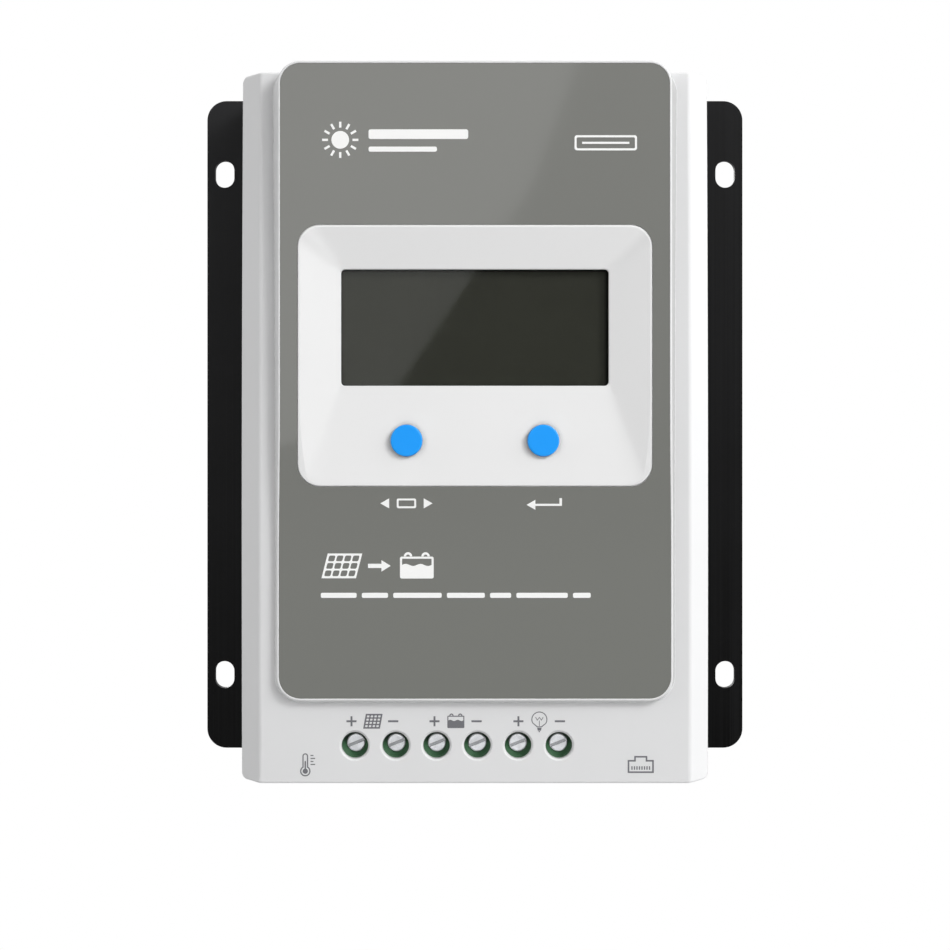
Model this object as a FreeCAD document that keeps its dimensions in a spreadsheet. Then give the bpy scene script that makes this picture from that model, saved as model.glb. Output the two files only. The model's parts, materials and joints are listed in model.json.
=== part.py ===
import FreeCAD, Part
import math
import os
import Sketcher

# Wall-mounted charge controller: a finned extruded base, a moulded cover with a display
# bezel and two buttons, a six-pole terminal block, and the boards and parts inside.
#
# Millimetres and degrees. The wall plane is y = 0 and the front of the unit faces -y.
# "Depth" and every name ending in _d is a distance in front of the wall, so y = -depth.
# x runs to the right seen from the front and z runs up. The origin is the centre of the
# four mounting slots.

Vector = FreeCAD.Vector
Rotation = FreeCAD.Rotation

DIMENSIONS = [
    # heat sink base
    ("ear_width", 139.0), ("ear_height", 168.0), ("ear_thick", 2.0), ("ear_corner", 5.0),
    ("slot_pitch", 130.0), ("slot_wide", 5.0), ("slot_long", 7.0),
    ("case_half", 56.45), ("leg_thick", 2.5), ("web_back_d", 7.0), ("web_front_d", 10.0),
    ("fin_thick", 1.6), ("fin_pitch", 9.0), ("fin_count", 11), ("fin_back_d", 0.0),
    # cover
    ("flank_bottom", -85.75), ("flank_top", 84.5), ("flank_mid", -30.0),
    ("flank_radius", 2506.0), ("flank_high_d", 41.0), ("facet_wide", 4.95),
    ("facet_deep", 6.5), ("crease_round", 1.2), ("low_corner", 1.5), ("case_edge", 0.5),
    ("cover_wall", 2.0),
    # raised platform of the cover
    ("plat_half", 46.65), ("plat_top", 86.25), ("plat_bottom", -65.26),
    ("plat_high_d", 44.0), ("plat_low_d", 42.8), ("plat_base_d", 36.0),
    ("plat_corner", 5.2), ("plat_draft", 0.325), ("step_from", 6.0), ("step_to", -34.6),
    ("plat_edge", 0.35),
    # overlay film
    ("film_half", 46.15), ("film_top", 85.6), ("film_bottom", -64.71),
    ("film_corner", 4.7), ("film_thick", 0.25),
    # display bezel and pane
    ("bezel_half", 41.95), ("bezel_top", 47.2), ("bezel_bottom", -14.6),
    ("bezel_corner", 5.2), ("bezel_gap", 0.08), ("bezel_back_d", 38.8),
    ("bezel_seat_d", 40.8), ("bezel_flange", 2.0),
    ("view_half", 31.95), ("view_top", 37.0), ("view_bottom", 9.2), ("view_d", 41.0),
    ("view_corner", 1.0), ("dish_bottom", -20.55),
    ("pane_half", 33.8), ("pane_back_d", 38.9), ("pane_front_d", 39.9), ("pane_margin", 1.85),
    # buttons and the switches behind them
    ("button_x", 16.25), ("button_z", -3.84), ("button_rad", 3.77), ("button_top_d", 43.9),
    ("button_edge", 0.35), ("button_flange_rad", 4.8), ("button_flange_back_d", 39.2),
    ("button_flange_front_d", 40.2), ("stem_rad", 1.75), ("stem_back_d", 38.1),
    ("slide_gap", 0.06), ("tact_half", 3.0), ("tact_back_d", 33.6), ("tact_front_d", 37.1),
    ("plunger_rad", 1.75), ("plunger_back_d", 35.4), ("plunger_floor_d", 34.4),
    # terminal block
    ("pole_first", -28.68), ("pole_pitch", 9.752), ("pole_z", -76.7),
    ("block_left", -33.55), ("block_right", 24.95), ("block_back_z", -70.5),
    ("block_face_z", -85.2), ("block_back_d", 17.0), ("block_front_d", 37.5),
    ("access_rad", 3.2), ("access_mouth", 3.68),
    ("head_rad", 2.16), ("head_back_d", 34.4), ("head_front_d", 36.2), ("head_bore", 2.24),
    ("funnel_from_d", 36.25), ("funnel_rad", 3.6), ("funnel_step_d", 36.95),
    ("funnel_step_rad", 3.12), ("shank_rad", 1.5), ("shank_tip_d", 25.8),
    ("shank_bore", 1.56), ("ledge_d", 32.2),
    ("slot_cut_wide", 0.75), ("slot_cut_deep", 0.8), ("slot_angle", 22.0),
    ("cage_half", 3.6), ("cage_wall", 1.0), ("cage_back_d", 19.5), ("cage_floor", 1.2),
    ("cage_roof", 1.5), ("cage_front_d", 29.0), ("cage_deep", 6.4), ("cage_room", 0.1),
    ("bar_half", 2.4), ("bar_back_d", 24.8), ("bar_front_d", 25.6),
    ("entry_half", 2.6), ("entry_back_d", 20.8),
    # main board and fasteners
    ("board_back_d", 15.4), ("board_front_d", 17.0), ("board_half", 52.8),
    ("board_top", 80.5), ("board_bottom", -83.5),
    ("boss_x", 49.85), ("boss_low_z", -60.0), ("boss_high_z", 74.0), ("boss_rad", 3.1),
    ("standoff_x", 40.5), ("standoff_low_z", -50.0), ("standoff_high_z", 66.0),
    ("standoff_rad", 2.75), ("screw_rad", 1.5), ("screw_head_rad", 2.75), ("screw_head", 1.8),
    # communication socket and sensor header
    ("com_x", 39.8), ("com_half", 7.9), ("com_front_d", 30.5), ("com_face_z", -85.4),
    ("com_back_z", -69.7), ("com_skin", 0.3),
    ("sense_x", -40.2), ("sense_half", 4.5), ("sense_front_d", 24.2),
    ("sense_face_z", -85.3), ("sense_back_z", -75.5),
    # display board
    ("panel_back_d", 32.0), ("panel_front_d", 33.6), ("panel_half", 42.5),
    ("panel_top", 48.0), ("panel_bottom", -16.5), ("panel_screw_x", 39.5),
    ("panel_screw_low", -12.0), ("panel_screw_high", 44.0), ("panel_screw_rad", 1.1),
]


class Quantity:
    """A number together with the sheet formula it comes from."""

    def __init__(self, value, formula):
        self.value = float(value)
        self.formula = formula

    def __add__(self, other):
        other = qty(other)
        return Quantity(self.value + other.value, "(%s + %s)" % (self.formula, other.formula))

    def __sub__(self, other):
        other = qty(other)
        return Quantity(self.value - other.value, "(%s - %s)" % (self.formula, other.formula))

    def __mul__(self, other):
        other = qty(other)
        return Quantity(self.value * other.value, "(%s * %s)" % (self.formula, other.formula))

    def __truediv__(self, other):
        other = qty(other)
        return Quantity(self.value / other.value, "(%s / %s)" % (self.formula, other.formula))

    def __neg__(self):
        return Quantity(-self.value, "(0 - %s)" % self.formula)


def qty(number):
    if isinstance(number, Quantity):
        return number
    return Quantity(number, "%.6f" % number if number >= 0 else "(0 - %.6f)" % -number)


class Dimensions:
    """Holds every driving dimension as an attribute."""


doc = FreeCAD.newDocument("charge_controller")
sheet = doc.addObject("Spreadsheet::Sheet", "dims")
dim = Dimensions()
for row, (alias, number) in enumerate(DIMENSIONS, 1):
    sheet.set("A%d" % row, alias)
    sheet.set("B%d" % row, str(number))
    sheet.setAlias("B%d" % row, alias)
    setattr(dim, alias, Quantity(number, "dims." + alias))
doc.recompute()

pieces = []


def piece(obj, label):
    obj.Label = label
    pieces.append(obj)


def bind(obj, prop, amount):
    """Set a property and tie it to the sheet if it depends on a driving dimension."""
    amount = qty(amount)
    if "." not in prop:
        setattr(obj, prop, amount.value)
    if "dims." in amount.formula:
        obj.setExpression(prop, amount.formula)


def put(obj, x, y, z, turn=None):
    place = [qty(x), qty(y), qty(z)]
    base = Vector(*[amount.value for amount in place])
    obj.Placement = FreeCAD.Placement(base, turn or Rotation())
    for axis, amount in zip("xyz", place):
        bind(obj, "Placement.Base." + axis, amount)
    return obj


# ---------------------------------------------------------------------------
# Part primitives, placed by x, z and depth
# ---------------------------------------------------------------------------
FORWARD = Rotation(Vector(1, 0, 0), 90)  # turns an axis along +z to point to the front


def primitive(kind, x, y, z, turn=None, **sizes):
    solid = doc.addObject("Part::" + kind, kind)
    for prop, size in sizes.items():
        bind(solid, prop, size)
    return put(solid, x, y, z, turn)


def box(x0, x1, z0, z1, d0, d1):
    x0, x1, z0, z1, d0, d1 = [qty(v) for v in (x0, x1, z0, z1, d0, d1)]
    return primitive("Box", x0, -d1, z0, Length=x1 - x0, Width=d1 - d0, Height=z1 - z0)


def slab(x, half, z0, z1, d0, d1):
    """Box centred on x."""
    x = qty(x)
    return box(x - half, x + half, z0, z1, d0, d1)


def block(x, z, half_x, half_z, d0, d1):
    """Box centred on x and z."""
    z = qty(z)
    return slab(x, half_x, z - half_z, z + half_z, d0, d1)


def rod(x, z, d0, d1, radius):
    """Cylinder whose axis points away from the wall."""
    return primitive("Cylinder", x, -qty(d0), z, FORWARD, Radius=radius, Height=qty(d1) - d0)


def cone(x, z, d0, d1, back_radius, front_radius):
    return primitive("Cone", x, -qty(d0), z, FORWARD,
                     Radius1=back_radius, Radius2=front_radius, Height=qty(d1) - d0)


def fuse(parts):
    if len(parts) == 1:
        return parts[0]
    union = doc.addObject("Part::MultiFuse", "union")
    union.Shapes = parts
    return union


def cut(base, tools):
    remainder = doc.addObject("Part::Cut", "cut")
    remainder.Base = base
    remainder.Tool = fuse(tools)
    return remainder


def group(parts):
    compound = doc.addObject("Part::Compound", "set")
    compound.Links = parts
    return compound


def cross(x, z, half_slot, half_span, d0, d1):
    """Two crossed boxes: the tools of a cross recess."""
    return [block(x, z, half_slot, half_span, d0, d1), block(x, z, half_span, half_slot, d0, d1)]


# ---------------------------------------------------------------------------
# Sketches
# ---------------------------------------------------------------------------
def new_body(name):
    return doc.addObject("PartDesign::Body", name)


def sketch(body, plane, name, offset=0):
    """Sketch on XY (offset is z), on XZ (offset is depth) or on YZ."""
    drawing = body.newObject("Sketcher::SketchObject", name)
    role = plane + "_Plane"
    support = [feature for feature in body.Origin.OriginFeatures if feature.Role == role][0]
    drawing.AttachmentSupport = [(support, "")]
    drawing.MapMode = "FlatFace"
    offset = qty(offset)
    drawing.AttachmentOffset = FreeCAD.Placement(Vector(0, 0, offset.value), Rotation())
    bind(drawing, "AttachmentOffset.Base.z", offset)
    return drawing


def constrain(drawing, kind, curve, point, amount):
    amount = qty(amount)
    if kind == "Radius":
        constraint = Sketcher.Constraint(kind, curve, amount.value)
    else:
        constraint = Sketcher.Constraint(kind, -1, 1, curve, point, amount.value)
    index = drawing.addConstraint(constraint)
    if "dims." in amount.formula:
        drawing.setExpression("Constraints[%d]" % index, amount.formula)


def arc_curve(start, end, radius, turn):
    """Minor arc between two points; turn +1 has its centre on the left of travel."""
    chord = end - start
    rise = math.sqrt(max(radius ** 2 - (chord.Length / 2) ** 2, 0))
    left = Vector(-chord.y, chord.x, 0).normalize()
    centre = (start + end) * 0.5 + left * (rise * turn)
    angles = [math.atan2(end_.y - centre.y, end_.x - centre.x) for end_ in (start, end)]
    return Part.ArcOfCircle(Part.Circle(centre, Vector(0, 0, 1), radius), *angles[::turn])


def outline(drawing, points):
    """Closed outline. A point is (x, y) or (x, y, radius, turn): the edge that leaves
    it is then an arc of that radius, turn +1 for centre on the left of travel."""
    points = [tuple(qty(v) for v in point[:3]) + tuple(point[3:]) for point in points]
    following = points[1:] + points[:1]
    ends = []  # (curve, its point where travel starts, its point where travel ends)
    for point, after in zip(points, following):
        start = Vector(point[0].value, point[1].value, 0)
        end = Vector(after[0].value, after[1].value, 0)
        if len(point) == 2:
            curve = Part.LineSegment(start, end)
        else:
            curve = arc_curve(start, end, point[2].value, point[3])
        index = drawing.addGeometry(curve, False)
        clockwise = len(point) == 4 and point[3] < 0
        ends.append((index, 2, 1) if clockwise else (index, 1, 2))
    for (curve, _, last), (after, first, _) in zip(ends, ends[1:] + ends[:1]):
        drawing.addConstraint(Sketcher.Constraint("Coincident", curve, last, after, first))
    for (curve, first, _), point, after in zip(ends, points, following):
        constrain(drawing, "DistanceX", curve, first, point[0])
        constrain(drawing, "DistanceY", curve, first, point[1])
        if len(point) == 4:
            width = abs(point[0].value - after[0].value)
            level = abs(point[1].value - after[1].value) < 1e-9
            if level and abs(width - 2 * point[2].value) < 1e-9:
                # half circle: its centre is level with its ends
                constrain(drawing, "DistanceY", curve, 3, point[1])
            else:
                constrain(drawing, "Radius", curve, 0, point[2])


def rounded(drawing, half, y0, y1, radius):
    """Rectangle with round corners, centred on x = 0."""
    half, y0, y1 = qty(half), qty(y0), qty(y1)
    flat = half - radius
    outline(drawing, [
        (-flat, y0), (flat, y0, radius, 1), (half, y0 + radius), (half, y1 - radius, radius, 1),
        (flat, y1), (-flat, y1, radius, 1), (-half, y1 - radius), (-half, y0 + radius, radius, 1),
    ])


def rect(drawing, x0, x1, y0, y1):
    outline(drawing, [(x0, y0), (x1, y0), (x1, y1), (x0, y1)])


def circles(drawing, centres, radius):
    radius = qty(radius)
    for x, y in centres:
        x, y = qty(x), qty(y)
        circle = Part.Circle(Vector(x.value, y.value, 0), Vector(0, 0, 1), radius.value)
        curve = drawing.addGeometry(circle, False)
        constrain(drawing, "DistanceX", curve, 3, x)
        constrain(drawing, "DistanceY", curve, 3, y)
        constrain(drawing, "Radius", curve, 0, radius)


# ---------------------------------------------------------------------------
# PartDesign features. From an XZ sketch a pad grows to the front and a pocket
# cuts toward the wall.
# ---------------------------------------------------------------------------
def extrude(body, kind, profile, length, symmetric):
    doc.recompute()
    feature = body.newObject("PartDesign::" + kind, kind)
    feature.Profile = profile
    if length is None:
        feature.Type = "ThroughAll"
    else:
        bind(feature, "Length", length)
    if symmetric:
        feature.SideType = "Symmetric"
    doc.recompute()
    return feature


def pad(body, profile, length, symmetric=False):
    return extrude(body, "Pad", profile, length, symmetric)


def require_cut(body, before, profile):
    if not body.Shape.Volume < before - 1e-3:
        raise RuntimeError("nothing is cut by " + profile.Name)


def pocket(body, profile, length=None, symmetric=False):
    before = body.Shape.Volume
    extrude(body, "Pocket", profile, length, symmetric)
    require_cut(body, before, profile)


def loft(body, kind, back, front):
    feature = body.newObject("PartDesign::" + kind, kind)
    feature.Profile = back
    feature.Sections = [front]
    feature.Ruled = True
    doc.recompute()


def revolved(name, points):
    """Body of revolution about its own y axis, from points (radius, depth)."""
    body = new_body(name)
    section = sketch(body, "XY", "section")
    outline(section, points)
    feature = body.newObject("PartDesign::Revolution", "Revolution")
    feature.Profile = section
    feature.ReferenceAxis = (section, ["V_Axis"])
    feature.Angle = 360
    doc.recompute()
    return body


def edges_of(body, test):
    """Names of the edges whose bounding box passes the test."""
    return ["Edge%d" % i for i, edge in enumerate(body.Shape.Edges, 1) if test(edge.BoundBox)]


def dress(body, kind, edges):
    if not edges:
        raise RuntimeError("no edges for %s on %s" % (kind, body.Name))
    base = body.Tip
    feature = body.newObject("PartDesign::" + kind, kind)
    feature.Base = (base, edges)
    return feature


def fillet(body, edges, radius):
    feature = dress(body, "Fillet", edges)
    bind(feature, "Radius", radius)
    doc.recompute()
    return feature


def optional_fillet(body, edges, radius):
    """Fillet that is taken out again when the kernel can't build it soundly."""
    feature = fillet(body, edges, radius)
    # A failed fillet can leave the body without a shape, and then isValid raises.
    try:
        sound = body.Shape.isValid() and "Invalid" not in feature.State
    except RuntimeError:
        sound = False
    if not sound:
        body.removeObject(feature)
        doc.removeObject(feature.Name)
        doc.recompute()


# ---------------------------------------------------------------------------
# Places shared by several pieces
# ---------------------------------------------------------------------------
SIDES = (-1, 1)


def corners(x, low, high):
    return [(x * side, z) for side in SIDES for z in (low, high)]


BOSSES = corners(dim.boss_x, dim.boss_low_z, dim.boss_high_z)
STANDOFFS = corners(dim.standoff_x, dim.standoff_low_z, dim.standoff_high_z)
PANEL_SCREWS = corners(dim.panel_screw_x, dim.panel_screw_low, dim.panel_screw_high)
BUTTONS = [(dim.button_x * side, dim.button_z) for side in SIDES]
POLES = [dim.pole_first + dim.pole_pitch * i for i in range(6)]
CAGE_LOW_Z = dim.pole_z - dim.cage_deep / 2
CAGE_HIGH_Z = dim.pole_z + dim.cage_deep / 2
BAR_PIN_Z = CAGE_HIGH_Z + 1.55
SENSE_PINS = [dim.sense_x + offset for offset in (-1.905, 1.905)]
SENSE_PIN_D = (20.0, 21.0)
TRANSISTORS = [-27.0, -9.0, 9.0, 27.0]  # x
TRANSISTOR_Z = 58.0
TRANSISTOR_HOLE_Z = TRANSISTOR_Z + 9.5
TRANSISTOR_BACK_D = dim.web_front_d + 0.4  # front of the thermal pad
HOLES_D = (14, 18)  # a cut right through the main board
PAST = 1.0  # how far a cutting tool runs past the face it opens


# ---------------------------------------------------------------------------
# Heat sink base: one extrusion along z, with two slotted ears, a channel
# section and low cooling fins facing the wall
# ---------------------------------------------------------------------------
def heat_sink_base():
    boss_clearance = 1.7
    body = new_body("heat_sink_base")
    half_width = dim.ear_width / 2
    half_height = dim.ear_height / 2
    ear, case, leg = -dim.ear_thick, dim.case_half, dim.case_half - dim.leg_thick
    front, back = -dim.web_front_d, -dim.web_back_d
    section = sketch(body, "XY", "section", -half_height)
    outline(section, [
        (-half_width, 0), (-half_width, ear), (-case, ear), (-case, front),
        (case, front), (case, ear), (half_width, ear), (half_width, 0),
        (leg, 0), (leg, back), (-leg, back), (-leg, 0),
    ])
    pad(body, section, dim.ear_height)

    row_half = dim.fin_pitch * (dim.fin_count - 1) / 2
    section = sketch(body, "XY", "fin", -half_height)
    rect(section, -row_half - dim.fin_thick / 2, -row_half + dim.fin_thick / 2,
         back - 0.5, -dim.fin_back_d)
    fin = pad(body, section, dim.ear_height)
    pattern = body.newObject("PartDesign::LinearPattern", "fins")
    pattern.Originals = [fin]
    pattern.Direction = (section, ["H_Axis"])
    bind(pattern, "Length", row_half * 2)
    pattern.Occurrences = int(dim.fin_count.value)
    pattern.setExpression("Occurrences", dim.fin_count.formula)
    body.Tip = pattern
    doc.recompute()

    def at_ear_corner(bounds, tol=0.05):
        along_y = bounds.XLength < tol and bounds.ZLength < tol and bounds.YLength > tol
        return (along_y and abs(abs(bounds.XMin) - half_width.value) < tol
                and abs(abs(bounds.ZMin) - half_height.value) < tol)

    fillet(body, edges_of(body, at_ear_corner), dim.ear_corner)

    slots = sketch(body, "XZ", "slots", -1)
    radius = dim.slot_wide / 2
    straight = dim.slot_long / 2 - radius
    for x, z in corners(dim.slot_pitch / 2, -dim.slot_pitch / 2, dim.slot_pitch / 2):
        outline(slots, [
            (x + radius, z - straight), (x + radius, z + straight, radius, 1),
            (x - radius, z + straight), (x - radius, z - straight, radius, 1),
        ])
    pocket(body, slots, symmetric=True)

    # holes through the web: cover screws, standoff spigots and transistor screws
    holes = sketch(body, "XZ", "web_holes", -1)
    circles(holes, BOSSES, boss_clearance)
    circles(holes, STANDOFFS, dim.screw_rad)
    circles(holes, [(x, TRANSISTOR_HOLE_Z) for x in TRANSISTORS], dim.screw_rad)
    pocket(body, holes, symmetric=True)
    piece(body, "heat_sink_base")


# ---------------------------------------------------------------------------
# Outlines shared by the cover, the film and the bezel
# ---------------------------------------------------------------------------
def step_profile(drawing, shift, in_front=True):
    """Region in front of (or behind) the stepped platform surface, in (y, z). The
    surface is moved forward by shift."""
    reach_z = 100
    far_d = 60 if in_front else 30
    high_d = dim.plat_high_d + shift
    low_d = dim.plat_low_d + shift
    middle_z = (dim.step_from + dim.step_to) / 2
    run = dim.step_from - dim.step_to
    drop = high_d - low_d
    radius = (run * run + drop * drop) / (drop * 4)
    outline(drawing, [
        (-high_d, reach_z), (-high_d, dim.step_from, radius, 1),
        (-(high_d + low_d) / 2, middle_z, radius, -1), (-low_d, dim.step_to),
        (-low_d, -reach_z), (-far_d, -reach_z), (-far_d, reach_z),
    ])


def cut_step(body, name, shift, in_front=True):
    region = sketch(body, "YZ", name)
    step_profile(region, shift, in_front)
    pocket(body, region, symmetric=True)


def flank_d(z, drop=0.0):
    """Depth of the arched front of the cover at height z, less drop."""
    rise = qty(z) - dim.flank_mid
    return dim.flank_high_d - rise * rise / (dim.flank_radius * 2) - drop


def arched_profile(drawing, back_d, low, high, drop=0.0):
    outline(drawing, [
        (-back_d, low), (-back_d, high), (-flank_d(high, drop), high, dim.flank_radius, 1),
        (-flank_d(low, drop), low),
    ])


def platform_outline(drawing, grow):
    rounded(drawing, dim.plat_half + grow, dim.plat_bottom - grow, dim.plat_top,
            dim.plat_corner + grow)


def bezel_outline(drawing, grow=0):
    rounded(drawing, dim.bezel_half + grow, dim.bezel_bottom - grow, dim.bezel_top + grow,
            dim.bezel_corner + grow)


def film_body(name, grow, front_shift=None):
    """Drafted sheet whose back follows the step, as does its front if it has a shift."""
    skirt = 2.0
    lean = dim.plat_draft * skirt
    body = new_body(name)
    back = sketch(body, "XZ", "film_low", dim.plat_high_d - skirt)
    rounded(back, dim.film_half + lean + grow, dim.film_bottom - lean - grow,
            dim.film_top + grow, dim.film_corner + lean + grow)
    front = sketch(body, "XZ", "film_high", dim.plat_high_d)
    rounded(front, dim.film_half + grow, dim.film_bottom - grow,
            dim.film_top + grow, dim.film_corner + grow)
    loft(body, "AdditiveLoft", back, front)
    if front_shift is not None:
        cut_step(body, "film_top_cut", front_shift)
    cut_step(body, "film_low_cut", -dim.film_thick, in_front=False)
    return body


# ---------------------------------------------------------------------------
# Front cover: moulded shell, arched along z, with chamfered flanks and a raised
# round-cornered platform whose front steps down gently
# ---------------------------------------------------------------------------
def arched_case(body):
    profile = sketch(body, "YZ", "side_profile")
    arched_profile(profile, dim.web_front_d, dim.flank_bottom, dim.flank_top)
    pad(body, profile, dim.case_half * 2, symmetric=True)

    long_edges = edges_of(
        body, lambda bounds: bounds.XLength < 0.01 and bounds.ZLength > 100 and bounds.YMin < -30)
    facet = dress(body, "Chamfer", long_edges)
    bind(facet, "Size", dim.facet_deep)
    facet.ChamferType = "Two distances"
    bind(facet, "Size2", dim.facet_wide)
    doc.recompute()
    # the narrow leg of the chamfer must lie on the front face
    crease_x = (dim.case_half - dim.facet_wide).value
    face_bounds = [face.BoundBox for face in body.Shape.Faces]
    front = [bounds for bounds in face_bounds
             if bounds.YMin < -40.9 and bounds.ZLength > 100 and bounds.XMin < 0 < bounds.XMax][0]
    if abs(front.XMax - crease_x) > 0.05:
        facet.FlipDirection = True
        doc.recompute()

    def on_crease(bounds):
        return (bounds.ZLength > 100 and bounds.XLength < 0.05
                and abs(abs(bounds.XMin) - crease_x) < 0.05)

    def on_side_end(bounds):
        return (abs(abs(bounds.XMin) - dim.case_half.value) < 0.01 and bounds.XLength < 0.01
                and bounds.ZLength < 0.01 and bounds.YLength > 15)

    def on_front_end(bounds):
        at_end = any(abs(bounds.ZMin - end.value) < 0.01
                     for end in (dim.flank_bottom, dim.flank_top))
        return (bounds.ZLength < 0.001 and at_end
                and bounds.XLength > 90 and bounds.YMax < -30)

    fillet(body, edges_of(body, on_crease), dim.crease_round)
    fillet(body, edges_of(body, on_side_end), dim.low_corner)
    optional_fillet(body, edges_of(body, on_front_end), dim.case_edge)


def raised_platform(body):
    """Straight foot up to the base depth, drafted walls in front of it."""
    flare = (dim.plat_high_d - dim.plat_base_d) * dim.plat_draft
    foot = sketch(body, "XZ", "platform_foot", dim.web_front_d)
    platform_outline(foot, flare)
    pad(body, foot, dim.plat_base_d - dim.web_front_d)
    base = sketch(body, "XZ", "platform_base", dim.plat_base_d)
    platform_outline(base, flare)
    crest = sketch(body, "XZ", "platform_crest", dim.plat_high_d)
    platform_outline(crest, 0)
    loft(body, "AdditiveLoft", base, crest)
    cut_step(body, "platform_step", 0)

    def on_crest(bounds):
        if bounds.YMax > -42.7 or bounds.YMin < -44.05:
            return False
        step_seam = bounds.XLength > 90 and bounds.ZLength < 0.01 and -60 < bounds.ZMin < 80
        return not step_seam

    optional_fillet(body, edges_of(body, on_crest), dim.plat_edge)


def hollow_out(body):
    """Narrow room in front, wide room between the side walls, room in the platform."""
    narrow_width = 100.8
    wide_drop = 7.4
    wide_margin = 0.5
    back_d = dim.web_front_d - PAST
    low, high = dim.flank_bottom + dim.cover_wall, dim.flank_top - dim.cover_wall
    room = sketch(body, "YZ", "room_high")
    arched_profile(room, back_d, low, high, 2.0)
    pocket(body, room, narrow_width, symmetric=True)
    room = sketch(body, "YZ", "room_low")
    arched_profile(room, back_d, low, high, wide_drop)
    pocket(body, room, (dim.case_half - dim.cover_wall) * 2 - wide_margin, symmetric=True)
    room = sketch(body, "XZ", "room_platform", dim.bezel_seat_d)
    rounded(room, half=44.6, y0=-63.5, y1=83.6, radius=4.0)
    pocket(body, room, dim.bezel_seat_d - 30)


def screw_bosses(body):
    boss_length = 26
    hole_reach = 14  # in front of the web
    hole_length = 20
    bosses = sketch(body, "XZ", "bosses", dim.web_front_d)
    circles(bosses, BOSSES, dim.boss_rad)
    pad(body, bosses, boss_length)
    holes = sketch(body, "XZ", "boss_holes", dim.web_front_d + hole_reach)
    circles(holes, BOSSES, dim.screw_rad)
    pocket(body, holes, hole_length)


def front_cover():
    film_gap = 0.04
    window_gap = 0.2
    shell = new_body("cover_shell")
    arched_case(shell)
    raised_platform(shell)
    hollow_out(shell)
    screw_bosses(shell)

    recess = film_body("film_recess", film_gap)
    opening = new_body("bezel_opening")
    profile = sketch(opening, "XZ", "opening", 35)
    bezel_outline(profile, dim.bezel_gap)
    pad(opening, profile, 15)

    tools = [recess, opening]
    # driver holes over the terminal screws, each with a widened mouth
    surface_d = flank_d(dim.pole_z)
    for x in POLES:
        tools.append(rod(x, dim.pole_z, 36.5, 43, dim.access_rad))
        tools.append(cone(x, dim.pole_z, surface_d - 0.55, surface_d + 0.25,
                          dim.access_rad - 0.1, dim.access_mouth + 0.2))
    # windows in the bottom wall: (left, right, front depth)
    for left, right, front_d in [
        (dim.block_left, dim.block_right, dim.block_front_d),
        (dim.com_x - dim.com_half, dim.com_x + dim.com_half, dim.com_front_d),
        (dim.sense_x - dim.sense_half, dim.sense_x + dim.sense_half, dim.sense_front_d),
    ]:
        tools.append(box(left - window_gap, right + window_gap,
                         dim.flank_bottom - PAST, dim.flank_bottom + dim.cover_wall + PAST,
                         dim.block_back_d - window_gap, front_d + window_gap))
    piece(cut(shell, tools), "front_cover")


def overlay():
    """Film on the platform, with the opening for the bezel."""
    body = film_body("overlay_film", 0, front_shift=-0.02)
    window = sketch(body, "XZ", "film_window", 46)
    bezel_outline(window, dim.bezel_gap + 0.1)
    pocket(body, window, 6)
    piece(body, "overlay")


# ---------------------------------------------------------------------------
# Display bezel: frame with a shallow dish, two button holes, a flange that
# seats behind the cover and four bosses for the display board
# ---------------------------------------------------------------------------
def view_outline(drawing):
    rounded(drawing, dim.view_half, dim.view_bottom, dim.view_top, dim.view_corner)


def display_bezel():
    dish_inset = 0.35
    pane_gap = 0.1
    body = new_body("bezel")
    frame = sketch(body, "XZ", "bezel_outline", dim.bezel_back_d)
    bezel_outline(frame)
    pad(body, frame, dim.plat_high_d - dim.bezel_back_d)
    flange = sketch(body, "XZ", "flange", dim.bezel_back_d)
    bezel_outline(flange, dim.bezel_flange)
    pad(body, flange, dim.bezel_seat_d - dim.bezel_back_d)
    cut_step(body, "bezel_step", -0.02)

    floor = sketch(body, "XZ", "dish_low", dim.view_d)
    view_outline(floor)
    rim = sketch(body, "XZ", "dish_high", dim.plat_high_d)
    rounded(rim, dim.bezel_half - dish_inset, dim.dish_bottom, dim.bezel_top - dish_inset,
            dim.bezel_corner - dish_inset)
    before = body.Shape.Volume
    loft(body, "SubtractiveLoft", floor, rim)
    require_cut(body, before, rim)
    opening = sketch(body, "XZ", "view_opening", dim.view_d + PAST)
    view_outline(opening)
    pocket(body, opening)

    seat = sketch(body, "XZ", "pane_seat", dim.pane_front_d)
    half = dim.pane_half + pane_gap
    rect(seat, -half, half, dim.view_bottom - dim.pane_margin - pane_gap,
         dim.view_top + dim.pane_margin + pane_gap)
    pocket(body, seat)
    holes = sketch(body, "XZ", "button_holes", 46)
    circles(holes, BUTTONS, dim.button_rad + dim.slide_gap)
    pocket(body, holes)
    holes = sketch(body, "XZ", "button_counterbores", dim.button_flange_front_d)
    circles(holes, BUTTONS, dim.button_flange_rad + 0.4)
    pocket(body, holes)

    bosses = sketch(body, "XZ", "board_bosses", dim.panel_front_d)
    circles(bosses, PANEL_SCREWS, 2.4)
    pad(body, bosses, dim.bezel_back_d + 0.5 - dim.panel_front_d)
    holes = sketch(body, "XZ", "board_boss_holes", 38.2)
    circles(holes, PANEL_SCREWS, dim.panel_screw_rad)
    pocket(body, holes)
    piece(body, "display_bezel")


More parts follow.
